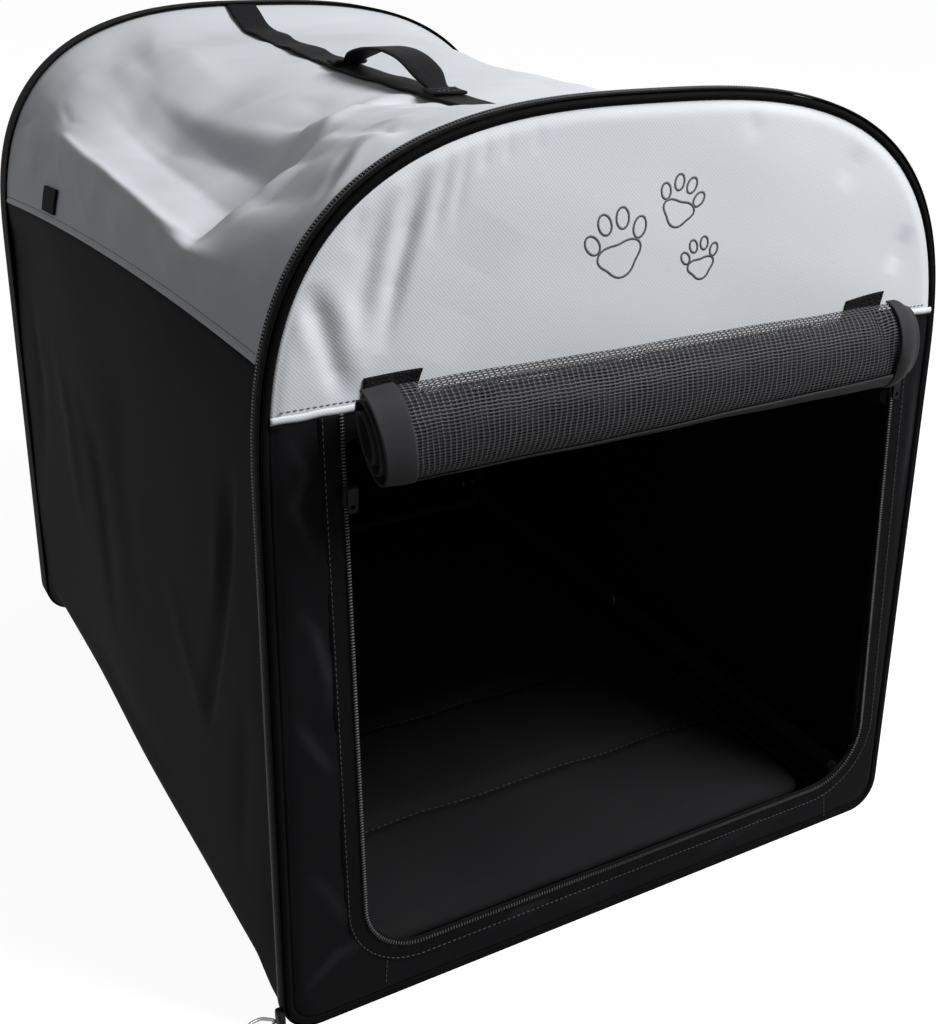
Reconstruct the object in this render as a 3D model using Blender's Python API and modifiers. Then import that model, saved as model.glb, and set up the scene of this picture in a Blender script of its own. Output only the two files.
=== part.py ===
"""Folding soft-sided pet carrier with an arched steel frame, modelled at real size.

The origin is the middle of the base, +Z is up, the door faces -Y and +X is on the right of someone
who looks at the door. All sizes are in metres.
"""

import bmesh
import bpy
import math
from mathutils import Vector

# Whole body: outer faces of the cloth
WIDTH = 0.460
HEIGHT = 0.530
LENGTH = 0.610
SPRING = 0.336
ARCH_POWER = 2.84
CORNER = 0.021
CLOTH = 0.002
GAP = 0.0003

# Edge piping round the front and rear panels
FRONT_PIPING = 0.0035
REAR_PIPING = 0.0040
ARCH_STEPS = 26
CORNER_STEPS = 4

# Seams between the black lower cloth and the grey upper cloth
PANEL_SEAM = 0.3815
SIDE_SEAM_FRONT = 0.408
SIDE_SEAM_DROP = 0.034
ARCH_ROWS = 4

# Steel hoops
TUBE = 0.006
TUBE_PLAY = 0.0015
ELBOW_STUB = 0.004
ELBOW_END = CORNER + ELBOW_STUB + GAP

# Folding side rails: flat steel strips that lap side by side on rivets
RAIL_THICK = 0.0025
RAIL_HALF_WIDTH = 0.007
RAIL_END_STEPS = 8
RAIL_HOLE = 0.0028
RAIL_HOLE_STEPS = 12
RIVET = 0.0025
RIVET_HEAD = 0.0048
RIVET_HEAD_THICK = 0.0015
RIVET_SIDES = 12
LOWER_RAIL_Z = 0.034
UPPER_RAIL_Z = 0.320
UPPER_REAR_X = 0.21245
UPPER_FRONT_X = 0.20945
LOWER_REAR_X = 0.20305
LOWER_FRONT_X = 0.20005

# Door opening in the front panel: its four corners as x and z, and their radii
DOOR_CORNERS = ((-0.177, 0.036), (0.206, 0.036), (0.194, 0.366), (-0.185, 0.366))
DOOR_RADII = (0.036, 0.040, 0.006, 0.006)
ZIP_TAPE_WIDTH = 0.014
ZIP_TAPE_THICK = 0.0008

# Rolled mesh door that hangs in front of the opening
ROLL_LEFT = -0.185
ROLL_RIGHT = 0.181
ROLL_BAND = 0.018
ROLL_DEPTH = 0.018
ROLL_RISE = 0.028
ROLL_Z = 0.3715
ROLL_TURNS = 2.6
ROLL_LAYER = 0.0018
ROLL_PITCH = 0.0048
ROLL_STEPS_PER_TURN = 24

# Hook-and-loop tabs above the roll, and the patch on the roof's left flank
TAB_SIZE = (0.035, 0.0012, 0.024)
TAB_Z = 0.392
LEFT_TAB_X = -0.163
RIGHT_TAB_X = 0.157
PATCH_Y = 0.130
PATCH_LENGTH = 0.034
PATCH_RISE = 0.018
PATCH_THICK = 0.0012
PATCH_ABOVE_SEAM = 0.016
PATCH_LIFT = 0.0022

# Zip sliders and their pulls
SLIDER = (0.0085, 0.0042, 0.0105)
SLIDER_Z = 0.336
PULL_LENGTH = 0.014
PULL_WIDTH = 0.0055
PULL_THICK = 0.0014
PULL_HOLE = 0.0014
PULL_HOLE_DROP = 0.0105
RIM_SLIDER_Z = 0.012
RIM_LOOP_WIRE = 0.0011
RIM_LOOP_LONG = 0.0085
RIM_LOOP_SHORT = 0.0055

# Roof webbing and the carry handle
STRAP_X = -0.012
STRAP_WIDTH = 0.025
STRAP_THICK = 0.0016
STRAP_FRONT = -0.270
STRAP_REAR = 0.273
STRAP_STEPS = 44
STRAP_DRIFT = 0.0115
STRAP_DRIFT_Y = (0.095, 0.250)
HANDLE_FRONT = -0.088
HANDLE_REAR = 0.092
HANDLE_Z = 0.5065
HANDLE_RISE = 0.0175
HANDLE_THICK = 0.0024
HANDLE_STEPS = 28

# Roof sag: how far the cloth lies inwards of the arch and below it, in mm, at shares of the way
# across from the left seam. A crease runs along the left flank, with a basin and a hump inside it.
SAG_REACH = 0.034
SAG_SHARES = (0, 3 / 28, 4 / 28, 6 / 28, 8 / 28, 10 / 28, 12 / 28, 0.5, 17 / 28, 20 / 28, 23 / 28, 26 / 28, 1)
RIGHT_SAG = ((4, 30), (4, 23), (3.5, 16), (3, 10), (0, 0))
REAR_RIGHT_SAG = ((2, 19), (2, 15), (2.5, 11), (2, 7), (0, 0))
BASIN_SAG = ((0, 0), (-2, 7.5), (3.5, 23), (13.5, 50), (15, 57), (8, 33), (4, 31.5), (0, 32.5)) + RIGHT_SAG
REAR_BASIN_SAG = ((0, 0), (1, 2), (1, 3), (3, 9), (6, 19), (7, 27), (5, 28), (0, 24)) + REAR_RIGHT_SAG
HUMP_SAG = ((0, 0), (-2, 7.5), (3, 18), (8, 34), (9, 44), (7, 41), (5, 35), (0, 32.5)) + RIGHT_SAG
REAR_HUMP_SAG = ((0, 0), (1, 2), (1, 3), (3, 6), (4, 9), (5, 15), (4, 21), (0, 24)) + REAR_RIGHT_SAG
REAR_SAG_Y = (0.060, 0.220)
ROOF_ACROSS = 28
ROOF_ALONG = 22
ROOF_ARC = 0.582
# Left crease as (y in m, arc from the left seam in mm)
CREASE_LINE = ((-0.305, 40), (-0.155, 46), (-0.044, 58), (0.064, 71), (0.176, 72), (0.280, 87))
# Left edge of the hump as (y in m, arc in mm), and half the width of its slope
HUMP_EDGE = ((-0.100, 300), (-0.088, 260), (-0.080, 212), (-0.052, 192), (0.010, 176), (0.127, 162), (0.200, 180),
             (0.260, 205), (0.300, 215))
HUMP_SLOPE = 0.023
# Front edge of the basin as (arc in mm, y in m)
BASIN_FRONT = ((46, -0.164), (83, -0.134), (100, -0.120), (125, -0.102), (153, -0.088), (171, -0.083),
               (195, -0.078), (230, -0.076))
# Fold right of the ridge: start and end as (arc, y) in m, width and depth
RIDGE_FOLD = ((0.338, 0.250), (0.419, 0.030), 0.024, 0.005)

# Floor pad
MAT_X = 0.200
MAT_Y = 0.283
MAT_THICK = 0.012
MAT_CORNER = 0.020

HALF_W = WIDTH / 2
HALF_L = LENGTH / 2
TUBE_INSET = CLOTH + TUBE_PLAY + TUBE
TUBE_Y = HALF_L - 2 * FRONT_PIPING - GAP - TUBE
SHEET_END = HALF_L - 2 * REAR_PIPING - GAP
UPRIGHT_X = HALF_W - TUBE_INSET


def superellipse(angle, inset):
    """Point x, z of the arch at an angle from the right-hand spring line, drawn in by inset."""
    power = 2 / ARCH_POWER
    across = HALF_W - inset
    rise = HEIGHT - SPRING - inset
    side = math.copysign(abs(math.cos(angle)) ** power, math.cos(angle))
    return across * side, SPRING + rise * abs(math.sin(angle)) ** power


def arch_angle(z, inset):
    """Angle at which the arch reaches height z on its right-hand side."""
    share = max(0.0, (z - SPRING) / (HEIGHT - SPRING - inset))
    return math.asin(share ** (ARCH_POWER / 2))


def arc(centre, radius, start, end, steps):
    """Points of an arc in the x-z plane, angles in degrees."""
    points = []
    for i in range(steps + 1):
        angle = math.radians(start + (end - start) * i / steps)
        points.append((centre[0] + radius * math.cos(angle), centre[1] + radius * math.sin(angle)))
    return points


def body_outline(inset, low=None, high=None):
    """Closed outline of a front or rear panel, from low to high where these are given."""
    radius = CORNER - inset
    side = HALF_W - inset
    points = []
    if low is None:
        points += arc((-HALF_W + CORNER, CORNER), radius, 180, 270, CORNER_STEPS)
        points += arc((HALF_W - CORNER, CORNER), radius, 270, 360, CORNER_STEPS)
    if high is not None:
        reach = superellipse(arch_angle(high, inset), inset)[0]
        points += [(side, SPRING), (reach, high), (-reach, high), (-side, SPRING)]
        return points
    first = 0.0 if low is None else arch_angle(low, inset)
    for i in range(ARCH_STEPS + 1):
        angle = first + (math.pi - 2 * first) * i / ARCH_STEPS
        points.append(superellipse(angle, inset))
    return points


def rounded_corners(corners, radii, steps):
    """Outline through corners (x, z), anticlockwise, with each corner rounded to its radius."""
    points = []
    count = len(corners)
    for i, radius in enumerate(radii):
        here = Vector(corners[i])
        before = (Vector(corners[i - 1]) - here).normalized()
        after = (Vector(corners[(i + 1) % count]) - here).normalized()
        half = before.angle(after) / 2
        centre = here + (before + after).normalized() * (radius / math.sin(half))
        start = here + before * (radius / math.tan(half)) - centre
        first = math.degrees(math.atan2(start.y, start.x))
        sweep = 180 - 2 * math.degrees(half)
        points += arc(centre, radius, first, first + sweep, steps)
    return points


def pushed_out(outline, distance):
    """Anticlockwise outline moved outwards by distance at each of its points."""
    points = []
    count = len(outline)
    for i, here in enumerate(outline):
        before = Vector(outline[i - 1])
        after = Vector(outline[(i + 1) % count])
        along = (after - before).normalized()
        points.append((here[0] + along.y * distance, here[1] - along.x * distance))
    return points


def make_material(name, colour, roughness, metallic=0.0):
    """Principled material with a plain colour."""
    mat = bpy.data.materials.new(name)
    mat.use_nodes = True
    shader = mat.node_tree.nodes["Principled BSDF"]
    shader.inputs["Base Color"].default_value = (*colour, 1.0)
    shader.inputs["Roughness"].default_value = roughness
    shader.inputs["Metallic"].default_value = metallic
    return mat


def place(obj, collection, finish, parent=None):
    """Puts an object in its collection with a material of its own."""
    for other in list(obj.users_collection):
        other.objects.unlink(obj)
    collection.objects.link(obj)
    colour, roughness, metallic = finish
    if obj.type in {"MESH", "CURVE"}:
        obj.data.materials.clear()
        obj.data.materials.append(make_material(obj.name, colour, roughness, metallic))
    if parent:
        bpy.context.view_layer.update()
        obj.parent = parent
        obj.matrix_parent_inverse = parent.matrix_world.inverted()
    return obj


def new_mesh(name, bm):
    """Object from a bmesh."""
    bmesh.ops.recalc_face_normals(bm, faces=bm.faces)
    mesh = bpy.data.meshes.new(name)
    bm.to_mesh(mesh)
    bm.free()
    return bpy.data.objects.new(name, mesh)


def plate(name, outlines, thickness, centre, rotation):
    """Flat plate from closed outlines; the ones after the first are holes."""
    curve = bpy.data.curves.new(name, "CURVE")
    curve.dimensions = "2D"
    curve.fill_mode = "BOTH"
    curve.extrude = thickness / 2
    for outline in outlines:
        spline = curve.splines.new("POLY")
        spline.points.add(len(outline) - 1)
        for point, (u, v) in zip(spline.points, outline):
            point.co = (u, v, 0.0, 1.0)
        spline.use_cyclic_u = True
    obj = bpy.data.objects.new(name, curve)
    obj.location = centre
    obj.rotation_euler = rotation
    return obj


UPRIGHT_PLATE = (math.pi / 2, 0.0, 0.0)
SIDE_PLATE = (math.pi / 2, 0.0, math.pi / 2)


def tube(name, points, radius, resolution=2, closed=False):
    """Round tube along points, with filled caps."""
    curve = bpy.data.curves.new(name, "CURVE")
    curve.dimensions = "3D"
    curve.bevel_depth = radius
    curve.bevel_resolution = resolution
    curve.use_fill_caps = not closed
    spline = curve.splines.new("POLY")
    spline.points.add(len(points) - 1)
    for point, co in zip(spline.points, points):
        point.co = (*co, 1.0)
    spline.use_cyclic_u = closed
    return bpy.data.objects.new(name, curve)


def as_mesh(obj):
    """Mesh object in place of a curve object, with its caps welded."""
    bpy.context.scene.collection.objects.link(obj)
    bpy.context.view_layer.update()
    evaluated = obj.evaluated_get(bpy.context.evaluated_depsgraph_get())
    mesh = bpy.data.meshes.new_from_object(evaluated)
    bm = bmesh.new()
    bm.from_mesh(mesh)
    bmesh.ops.remove_doubles(bm, verts=bm.verts, dist=1e-6)
    bm.to_mesh(mesh)
    bm.free()
    name = obj.name
    matrix = obj.matrix_world.copy()
    bpy.data.objects.remove(obj)
    result = bpy.data.objects.new(name, mesh)
    result.matrix_world = matrix
    return result


def grid_sheet(name, across, along, surface, thickness):
    """Open sheet whose points come from surface(u, v), u and v from 0 to 1, thickened."""
    bm = bmesh.new()
    bmesh.ops.create_grid(bm, x_segments=across, y_segments=along, size=0.5)
    for vert in bm.verts:
        vert.co = surface(vert.co.x + 0.5, vert.co.y + 0.5)
    obj = new_mesh(name, bm)
    shell = obj.modifiers.new("Cloth", "SOLIDIFY")
    shell.thickness = thickness
    shell.offset = 0.0
    shell.use_even_offset = True
    return obj


def block(name, size, centre, bevel=0.0):
    """Box with rounded edges."""
    bm = bmesh.new()
    bmesh.ops.create_cube(bm, size=1.0)
    for vert in bm.verts:
        vert.co = Vector(vert.co[i] * size[i] for i in range(3))
    obj = new_mesh(name, bm)
    obj.location = centre
    if bevel:
        edge = obj.modifiers.new("Edges", "BEVEL")
        edge.width = bevel
        edge.segments = 2
    return obj


def turned(name, profile, centre, facing):
    """Solid of revolution about X: profile is (distance along X, radius), facing +1 or -1."""
    bm = bmesh.new()
    verts = [bm.verts.new((radius, 0.0, height)) for height, radius in profile]
    for a, b in zip(verts, verts[1:]):
        bm.edges.new((a, b))
    mesh = bpy.data.meshes.new(name)
    bm.to_mesh(mesh)
    bm.free()
    obj = bpy.data.objects.new(name, mesh)
    screw = obj.modifiers.new("Turn", "SCREW")
    screw.steps = RIVET_SIDES
    screw.render_steps = RIVET_SIDES
    screw.use_merge_vertices = True
    screw.merge_threshold = 0.00005
    obj.location = centre
    obj.rotation_euler = (0.0, facing * math.pi / 2, 0.0)
    return obj


def side_seam(y):
    """Height of the seam along the sides, which falls towards the rear."""
    share = (y + HALF_L) / LENGTH
    return SIDE_SEAM_FRONT - SIDE_SEAM_DROP * share * share


def bump(value, centre, width):
    """Smooth hump, 1 at its centre."""
    return math.exp(-(((value - centre) / width) ** 2))


def fold_depth(arc, y):
    """Depth of the fold right of the ridge at a place on the roof."""
    start, end, width, depth = RIDGE_FOLD
    here, a = Vector((arc, y)), Vector(start)
    run = Vector(end) - a
    along = min(1.0, max(0.0, (here - a).dot(run) / run.length_squared))
    apart = (here - a - run * along).length
    return depth * bump(apart, 0.0, width) * min(1.0, min(along, 1 - along) / 0.4)


def eased(value, start, end):
    """Smooth rise from 0 at start to 1 at end."""
    share = min(1.0, max(0.0, (value - start) / (end - start)))
    return share * share * (3 - 2 * share)


def at_line(line, place):
    """Second value of a line of pairs where its first value is place."""
    if place <= line[0][0]:
        return line[0][1]
    for (low, first), (high, last) in zip(line, line[1:]):
        if place < high:
            return first + (last - first) * (place - low) / (high - low)
    return line[-1][1]


def section_sag(section, share):
    """Inward and downward sag in metres of one cross-section at a share of the way across."""
    return Vector([at_line(tuple(zip(SAG_SHARES, [pair[k] for pair in section])), share) for k in (0, 1)]) / 1000


def creased(y, share):
    """Share across, shifted so that the sag's left crease follows its line along the roof."""
    crease = at_line(CREASE_LINE, y) / 1000 / ROOF_ARC
    if share < crease:
        return share * SAG_SHARES[1] / crease
    if share < 0.5:
        return SAG_SHARES[1] + (share - crease) * (0.5 - SAG_SHARES[1]) / (0.5 - crease)
    return share


def roof_sag(y, share):
    """Inward and downward sag of the roof before it rises to the hoops."""
    rear = eased(y, *REAR_SAG_Y)
    across = creased(y, share)
    basin = section_sag(BASIN_SAG, across).lerp(section_sag(REAR_BASIN_SAG, across), rear)
    hump = section_sag(HUMP_SAG, share).lerp(section_sag(REAR_HUMP_SAG, share), rear)
    past = share * ROOF_ARC - at_line(HUMP_EDGE, y) / 1000
    sag = basin.lerp(hump, eased(past, -HUMP_SLOPE, HUMP_SLOPE))
    sag.y += fold_depth(share * ROOF_ARC, y) * min(1.0, share / 0.08, (1 - share) / 0.08)
    return sag


def roof_point(y, share, inset):
    """Point of the sagging roof: share runs from 0 at the left seam to 1 at the right one."""
    low = arch_angle(side_seam(y) + GAP / 2, inset)
    angle = math.pi - low - (math.pi - 2 * low) * share
    x, z = superellipse(angle, inset)
    hoop = TUBE_Y - TUBE
    if abs(y) >= hoop:
        return Vector((x, y, z))
    hold = 1 - math.exp(-(((hoop - abs(y)) / SAG_REACH) ** 1.5))
    if y < 0:
        arc = share * ROOF_ARC
        ramp = min(1.0, (y + hoop) / (at_line(BASIN_FRONT, arc * 1000) + hoop))
        ramp **= 2.2 - 1.2 * eased(arc, 0.045, 0.200)
        hold += (ramp - hold) * (1 - eased(share, 0.40, 0.49))
    sag = roof_sag(y, share) * hold
    return Vector((x - math.copysign(sag.x, x), y, z - sag.y))


def roof_share_at(y, x):
    """Share of the way across at which the roof passes x."""
    low, high = 0.0, 1.0
    while high - low > 1e-5:
        middle = (low + high) / 2
        if roof_point(y, middle, 0.0).x < x:
            low = middle
        else:
            high = middle
    return low


def make_panels(parts, finish, end, parent):
    """Upper and lower cloth of the front (end -1) or rear (end +1) panel, and its piping."""
    name = "front" if end < 0 else "rear"
    piping = FRONT_PIPING if end < 0 else REAR_PIPING
    inset = 2 * piping + GAP
    centre = (0.0, end * (HALF_L - CLOTH / 2), 0.0)
    upper = [body_outline(inset, low=PANEL_SEAM + GAP / 2)]
    lower = [body_outline(inset, high=PANEL_SEAM - GAP / 2)]
    if end < 0:
        lower.append(rounded_corners(DOOR_CORNERS, DOOR_RADII, CORNER_STEPS + 2))
    place(plate(f"{name}_upper_panel", upper, CLOTH, centre, UPRIGHT_PLATE),
          parts, finish["grey"], parent)
    place(plate(f"{name}_lower_panel", lower, CLOTH, centre, UPRIGHT_PLATE),
          parts, finish["black"], parent)
    ring = [(x, end * (HALF_L - piping), z) for x, z in body_outline(piping)]
    place(tube(f"{name}_piping", ring, piping, 1, closed=True), parts, finish["binding"], parent)


def make_hoop(parts, cutters, finish, end, parent):
    """Steel hoop: bent upright tube, bottom bar and two corner elbows."""
    name = "front" if end < 0 else "rear"
    y = end * TUBE_Y
    path = [(UPRIGHT_X, y, ELBOW_END)]
    for i in range(ARCH_STEPS + 1):
        x, z = superellipse(math.pi * i / ARCH_STEPS, TUBE_INSET)
        path.append((x, y, z))
    path.append((-UPRIGHT_X, y, ELBOW_END))
    hoop = place(as_mesh(tube(f"{name}_hoop_tube", path, TUBE, 2)), parts, finish["steel"], parent)
    for side in (-1, 1):
        for height in (LOWER_RAIL_Z, UPPER_RAIL_Z):
            hole = bore_cutter(cutters, (side * UPRIGHT_X, y, height))
            cut = hoop.modifiers.new("Rivet hole", "BOOLEAN")
            cut.operation = "DIFFERENCE"
            cut.object = hole
    bar_end = HALF_W - ELBOW_END
    bar = [(-bar_end, y, TUBE_INSET), (bar_end, y, TUBE_INSET)]
    place(tube(f"{name}_bottom_bar", bar, TUBE, 2), parts, finish["steel"], parent)
    for side, word in ((-1, "left"), (1, "right")):
        bend = arc((HALF_W - CORNER, CORNER), CORNER - TUBE_INSET, 0, -90, 6)
        bend.insert(0, (bend[0][0], bend[0][1] + ELBOW_STUB))
        bend.append((bend[-1][0] - ELBOW_STUB, bend[-1][1]))
        elbow = [(side * x, y, z) for x, z in bend]
        place(tube(f"{name}_{word}_elbow", elbow, TUBE, 2), parts, finish["plastic"], parent)


def bore_cutter(cutters, centre):
    """Cylinder along X that cuts a rivet hole through a hoop tube."""
    bpy.ops.mesh.primitive_cylinder_add(
        vertices=RIVET_SIDES, radius=RIVET + GAP, depth=6 * TUBE,
        location=centre, rotation=(0.0, math.pi / 2, 0.0))
    cutter = bpy.context.object
    cutter.name = "rivet_hole_cutter"
    cutter.hide_render = True
    cutter.display_type = "WIRE"
    for other in list(cutter.users_collection):
        other.objects.unlink(cutter)
    cutters.objects.link(cutter)
    return cutter


def rail_outline(reach):
    """Bar with round ends and a hole at each end, from y 0 to y reach."""
    low, high = min(0.0, reach), max(0.0, reach)
    outer = arc((high, 0.0), RAIL_HALF_WIDTH, -90, 90, RAIL_END_STEPS)
    outer += arc((low, 0.0), RAIL_HALF_WIDTH, 90, 270, RAIL_END_STEPS)
    holes = []
    for end in (low, high):
        ring = arc((end, 0.0), RAIL_HOLE, 0, 360, RAIL_HOLE_STEPS)
        holes.append(ring[:-1])
    return [outer] + holes


def make_rail(parts, finish, name, side, x, y, z, reach, parent):
    """One half rail: a strip from its hinge at y to the next one, reach away."""
    strip = plate(name, rail_outline(reach), RAIL_THICK, (side * x, y, z), SIDE_PLATE)
    return place(strip, parts, finish["steel"], parent)


def make_rivet(parts, finish, name, side, outer_x, inner_x, y, z, parent, two_heads):
    """Rivet along X, from outer_x to inner_x, with a head inside and perhaps one outside."""
    length = outer_x - inner_x
    profile = [(length, 0.0), (length, RIVET)]
    if two_heads:
        profile = [(length, 0.0), (length, RIVET_HEAD), (length - RIVET_HEAD_THICK, RIVET_HEAD),
                   (length - RIVET_HEAD_THICK, RIVET)]
    profile += [(RIVET_HEAD_THICK, RIVET), (RIVET_HEAD_THICK, RIVET_HEAD), (0.0, RIVET_HEAD), (0.0, 0.0)]
    rivet = turned(name, profile, (side * inner_x, y, z), side)
    return place(rivet, parts, finish["bright"], parent)


def make_linkage(parts, finish, hinges):
    """Lower and upper side rails with their rivets, left and right."""
    levels = (("lower", LOWER_RAIL_Z, LOWER_REAR_X, LOWER_FRONT_X),
              ("upper", UPPER_RAIL_Z, UPPER_REAR_X, UPPER_FRONT_X))
    for level, z, rear_x, front_x in levels:
        half = RAIL_THICK / 2
        inner_rear = rear_x - half - GAP - RIVET_HEAD_THICK
        inner_front = front_x - half - GAP - RIVET_HEAD_THICK
        outer_mid = rear_x + half + GAP + RIVET_HEAD_THICK
        outer_end = UPRIGHT_X + TUBE - 3 * GAP
        for side, word in ((-1, "left"), (1, "right")):
            make_rail(parts, finish, f"{level}_rear_{word}_rail", side, rear_x,
                      TUBE_Y, z, -TUBE_Y, hinges[f"{level}_rear"])
            make_rail(parts, finish, f"{level}_front_{word}_rail", side, front_x,
                      0.0, z, -TUBE_Y, hinges[f"{level}_middle"])
            make_rivet(parts, finish, f"{level}_rear_{word}_rivet", side, outer_end,
                       inner_rear, TUBE_Y, z, None, False)
            make_rivet(parts, finish, f"{level}_middle_{word}_rivet", side, outer_mid,
                       inner_front, 0.0, z, hinges[f"{level}_rear"], True)
            make_rivet(parts, finish, f"{level}_front_{word}_rivet", side, outer_end,
                       inner_front, -TUBE_Y, z, hinges["front_frame"], False)


def make_walls(parts, finish):
    """Left and right side cloth, from the rounded bottom corner up to the side seam."""
    inset = CLOTH / 2
    corner = arc((HALF_W - CORNER, CORNER), CORNER - inset, 270, 360, CORNER_STEPS)
    straight = len(corner) + 1
    rows = straight + ARCH_ROWS

    def section(row, y):
        """Place x, z of one row of the sheet at y."""
        if row < len(corner):
            return corner[row]
        if row < straight:
            return corner[-1][0], (CORNER + SPRING) / 2
        top = side_seam(y) - GAP / 2
        z = SPRING + (top - SPRING) * (row - straight) / ARCH_ROWS
        return superellipse(arch_angle(z, inset), inset)[0], z

    def wall(side):
        def surface(u, v):
            y = SHEET_END * (2 * v - 1)
            x, z = section(round(u * rows), y)
            return Vector((side * x, y, z))
        return surface

    for side, word in ((-1, "left"), (1, "right")):
        sheet = grid_sheet(f"{word}_wall", rows, 10, wall(side), CLOTH)
        place(sheet, parts, finish["black"])


def make_roof(parts, finish):
    """Grey roof cloth, sagging between the hoops, and the hook-and-loop patch on it."""
    hoop_inner = TUBE_Y - TUBE - GAP

    def surface(u, v):
        row = round(v * ROOF_ALONG)
        if row in (0, ROOF_ALONG):
            return roof_point(math.copysign(SHEET_END, row - 1), u, CLOTH / 2)
        along = 2 * (row - 1) / (ROOF_ALONG - 2) - 1
        eased = 0.5 * along + 0.5 * math.sin(along * math.pi / 2)
        return roof_point(hoop_inner * eased, u, CLOTH / 2)

    place(grid_sheet("roof_sheet", ROOF_ACROSS, ROOF_ALONG, surface, CLOTH), parts, finish["grey"])

    def patch(u, v):
        y = PATCH_Y + PATCH_LENGTH * (v - 0.5)
        goal = side_seam(y) + PATCH_ABOVE_SEAM + PATCH_RISE * (u - 0.5)
        share = 0.0
        while roof_point(y, share, 0.0).z < goal:
            share += 0.0005
        out = CLOTH / 2 + PATCH_LIFT + PATCH_THICK / 2
        return roof_point(y, share, CLOTH / 2) + Vector((-1.0, 0.0, 0.25)).normalized() * out

    place(grid_sheet("hook_patch", 3, 4, patch, PATCH_THICK), parts, finish["hook"])


def strap_middle(y):
    """x of the roof webbing's middle line, which drifts to the left near its rear end."""
    return STRAP_X - STRAP_DRIFT * eased(y, *STRAP_DRIFT_Y)


def strap_height(y):
    """Middle height of the roof webbing, which lies on the cloth in slack waves."""
    edges = (strap_middle(y) + STRAP_WIDTH * part for part in (-0.5, 0.0, 0.5))
    shares = [roof_share_at(y, x) for x in edges]
    highest = max(roof_point(y + step, share, 0.0).z for share in shares for step in (-0.004, 0.0, 0.004))
    slack = (0.0015 + 0.0015 * math.sin(y * 95.0) * bump(y, 0.19, 0.08)) * (1 - eased(abs(y), 0.250, 0.270))
    return highest + GAP + STRAP_THICK / 2 + slack


def make_strap(parts, finish):
    """Webbing sewn along the ridge of the roof, from hoop to hoop."""
    def surface(u, v):
        y = STRAP_FRONT + (STRAP_REAR - STRAP_FRONT) * v
        x = strap_middle(y) + STRAP_WIDTH * (u - 0.5)
        return Vector((x, y, strap_height(y)))

    place(grid_sheet("roof_strap", 1, STRAP_STEPS, surface, STRAP_THICK), parts, finish["webbing"])


def make_handle(parts, finish, hinge):
    """Loop of webbing that stands over the roof strap."""
    def surface(u, v):
        y = HANDLE_FRONT + (HANDLE_REAR - HANDLE_FRONT) * v
        x = STRAP_X + STRAP_WIDTH * (u - 0.5)
        rise = HANDLE_RISE * math.sin(math.pi * v) ** 0.7 if 0 < v < 1 else 0.0
        return Vector((x, y, HANDLE_Z + rise))

    loop = grid_sheet("carry_handle", 1, HANDLE_STEPS, surface, HANDLE_THICK)
    place(loop, parts, finish["webbing"], hinge)


def make_floor(parts, finish):
    """Floor cloth under the frame, and the pad that lies in the cabin."""
    side = HALF_W - CORNER - GAP
    size = (2 * side, 2 * SHEET_END, CLOTH)
    place(block("floor_sheet", size, (0.0, 0.0, CLOTH / 2)), parts, finish["black"])
    corners = ((-MAT_X, -MAT_Y), (MAT_X, -MAT_Y), (MAT_X, MAT_Y), (-MAT_X, MAT_Y))
    outline = rounded_corners(corners, (MAT_CORNER,) * 4, 6)
    centre = (0.0, 0.0, CLOTH + GAP + MAT_THICK / 2)
    pad = as_mesh(plate("floor_mat", [outline], MAT_THICK, centre, (0.0, 0.0, 0.0)))
    edge = pad.modifiers.new("Edges", "BEVEL")
    edge.width = MAT_THICK * 0.35
    edge.segments = 2
    edge.limit_method = "ANGLE"
    place(pad, parts, finish["pad"])


def roll_section():
    """Closed outline, y and z, of the rolled mesh: a flattened spiral of constant thickness."""
    steps = round(ROLL_TURNS * ROLL_STEPS_PER_TURN)
    outer, inner = [], []
    for i in range(steps + 1):
        turn = i / ROLL_STEPS_PER_TURN
        angle = 2 * math.pi * turn + math.pi / 2
        drawn_in = ROLL_PITCH * turn
        for points, layer in ((outer, 0.0), (inner, ROLL_LAYER)):
            depth = ROLL_DEPTH - drawn_in - layer
            rise = ROLL_RISE - drawn_in * 1.3 - layer
            points.append((depth * math.cos(angle), rise * math.sin(angle)))
    return outer + inner[::-1]


def roll_clearance():
    """Least distance between neighbouring layers of the roll."""
    section = roll_section()
    half = len(section) // 2
    outer, inner = section[:half], section[half:][::-1]
    least = 1.0
    for i in range(half - ROLL_STEPS_PER_TURN):
        a = Vector(inner[i])
        for k in range(-3, 4):
            j = i + ROLL_STEPS_PER_TURN + k
            if j < half:
                least = min(least, (a - Vector(outer[j])).length)
    return least


def make_roll(parts, finish, hinge):
    """Mesh door, rolled up, with a cloth binding along each side of it."""
    section = roll_section()
    centre_y = -HALF_L - ROLL_DEPTH - TAB_SIZE[1] - 2 * GAP
    inner_left = ROLL_LEFT + ROLL_BAND
    inner_right = ROLL_RIGHT - ROLL_BAND
    stretches = (("left_door_binding", ROLL_LEFT, inner_left - GAP, "binding"),
                 ("mesh_door_roll", inner_left, inner_right, "mesh"),
                 ("right_door_binding", inner_right + GAP, ROLL_RIGHT, "binding"))
    for name, start, end, look in stretches:
        centre = ((start + end) / 2, centre_y, ROLL_Z)
        place(plate(name, [section], end - start, centre, SIDE_PLATE), parts, finish[look], hinge)
    print(f"least gap between layers of the roll: {roll_clearance() * 1000:.2f} mm")


def door_edge(side, z):
    """x of the door opening's side edge at height z."""
    low, high = (DOOR_CORNERS[0], DOOR_CORNERS[3]) if side < 0 else (DOOR_CORNERS[1], DOOR_CORNERS[2])
    return low[0] + (high[0] - low[0]) * (z - low[1]) / (high[1] - low[1])


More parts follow.
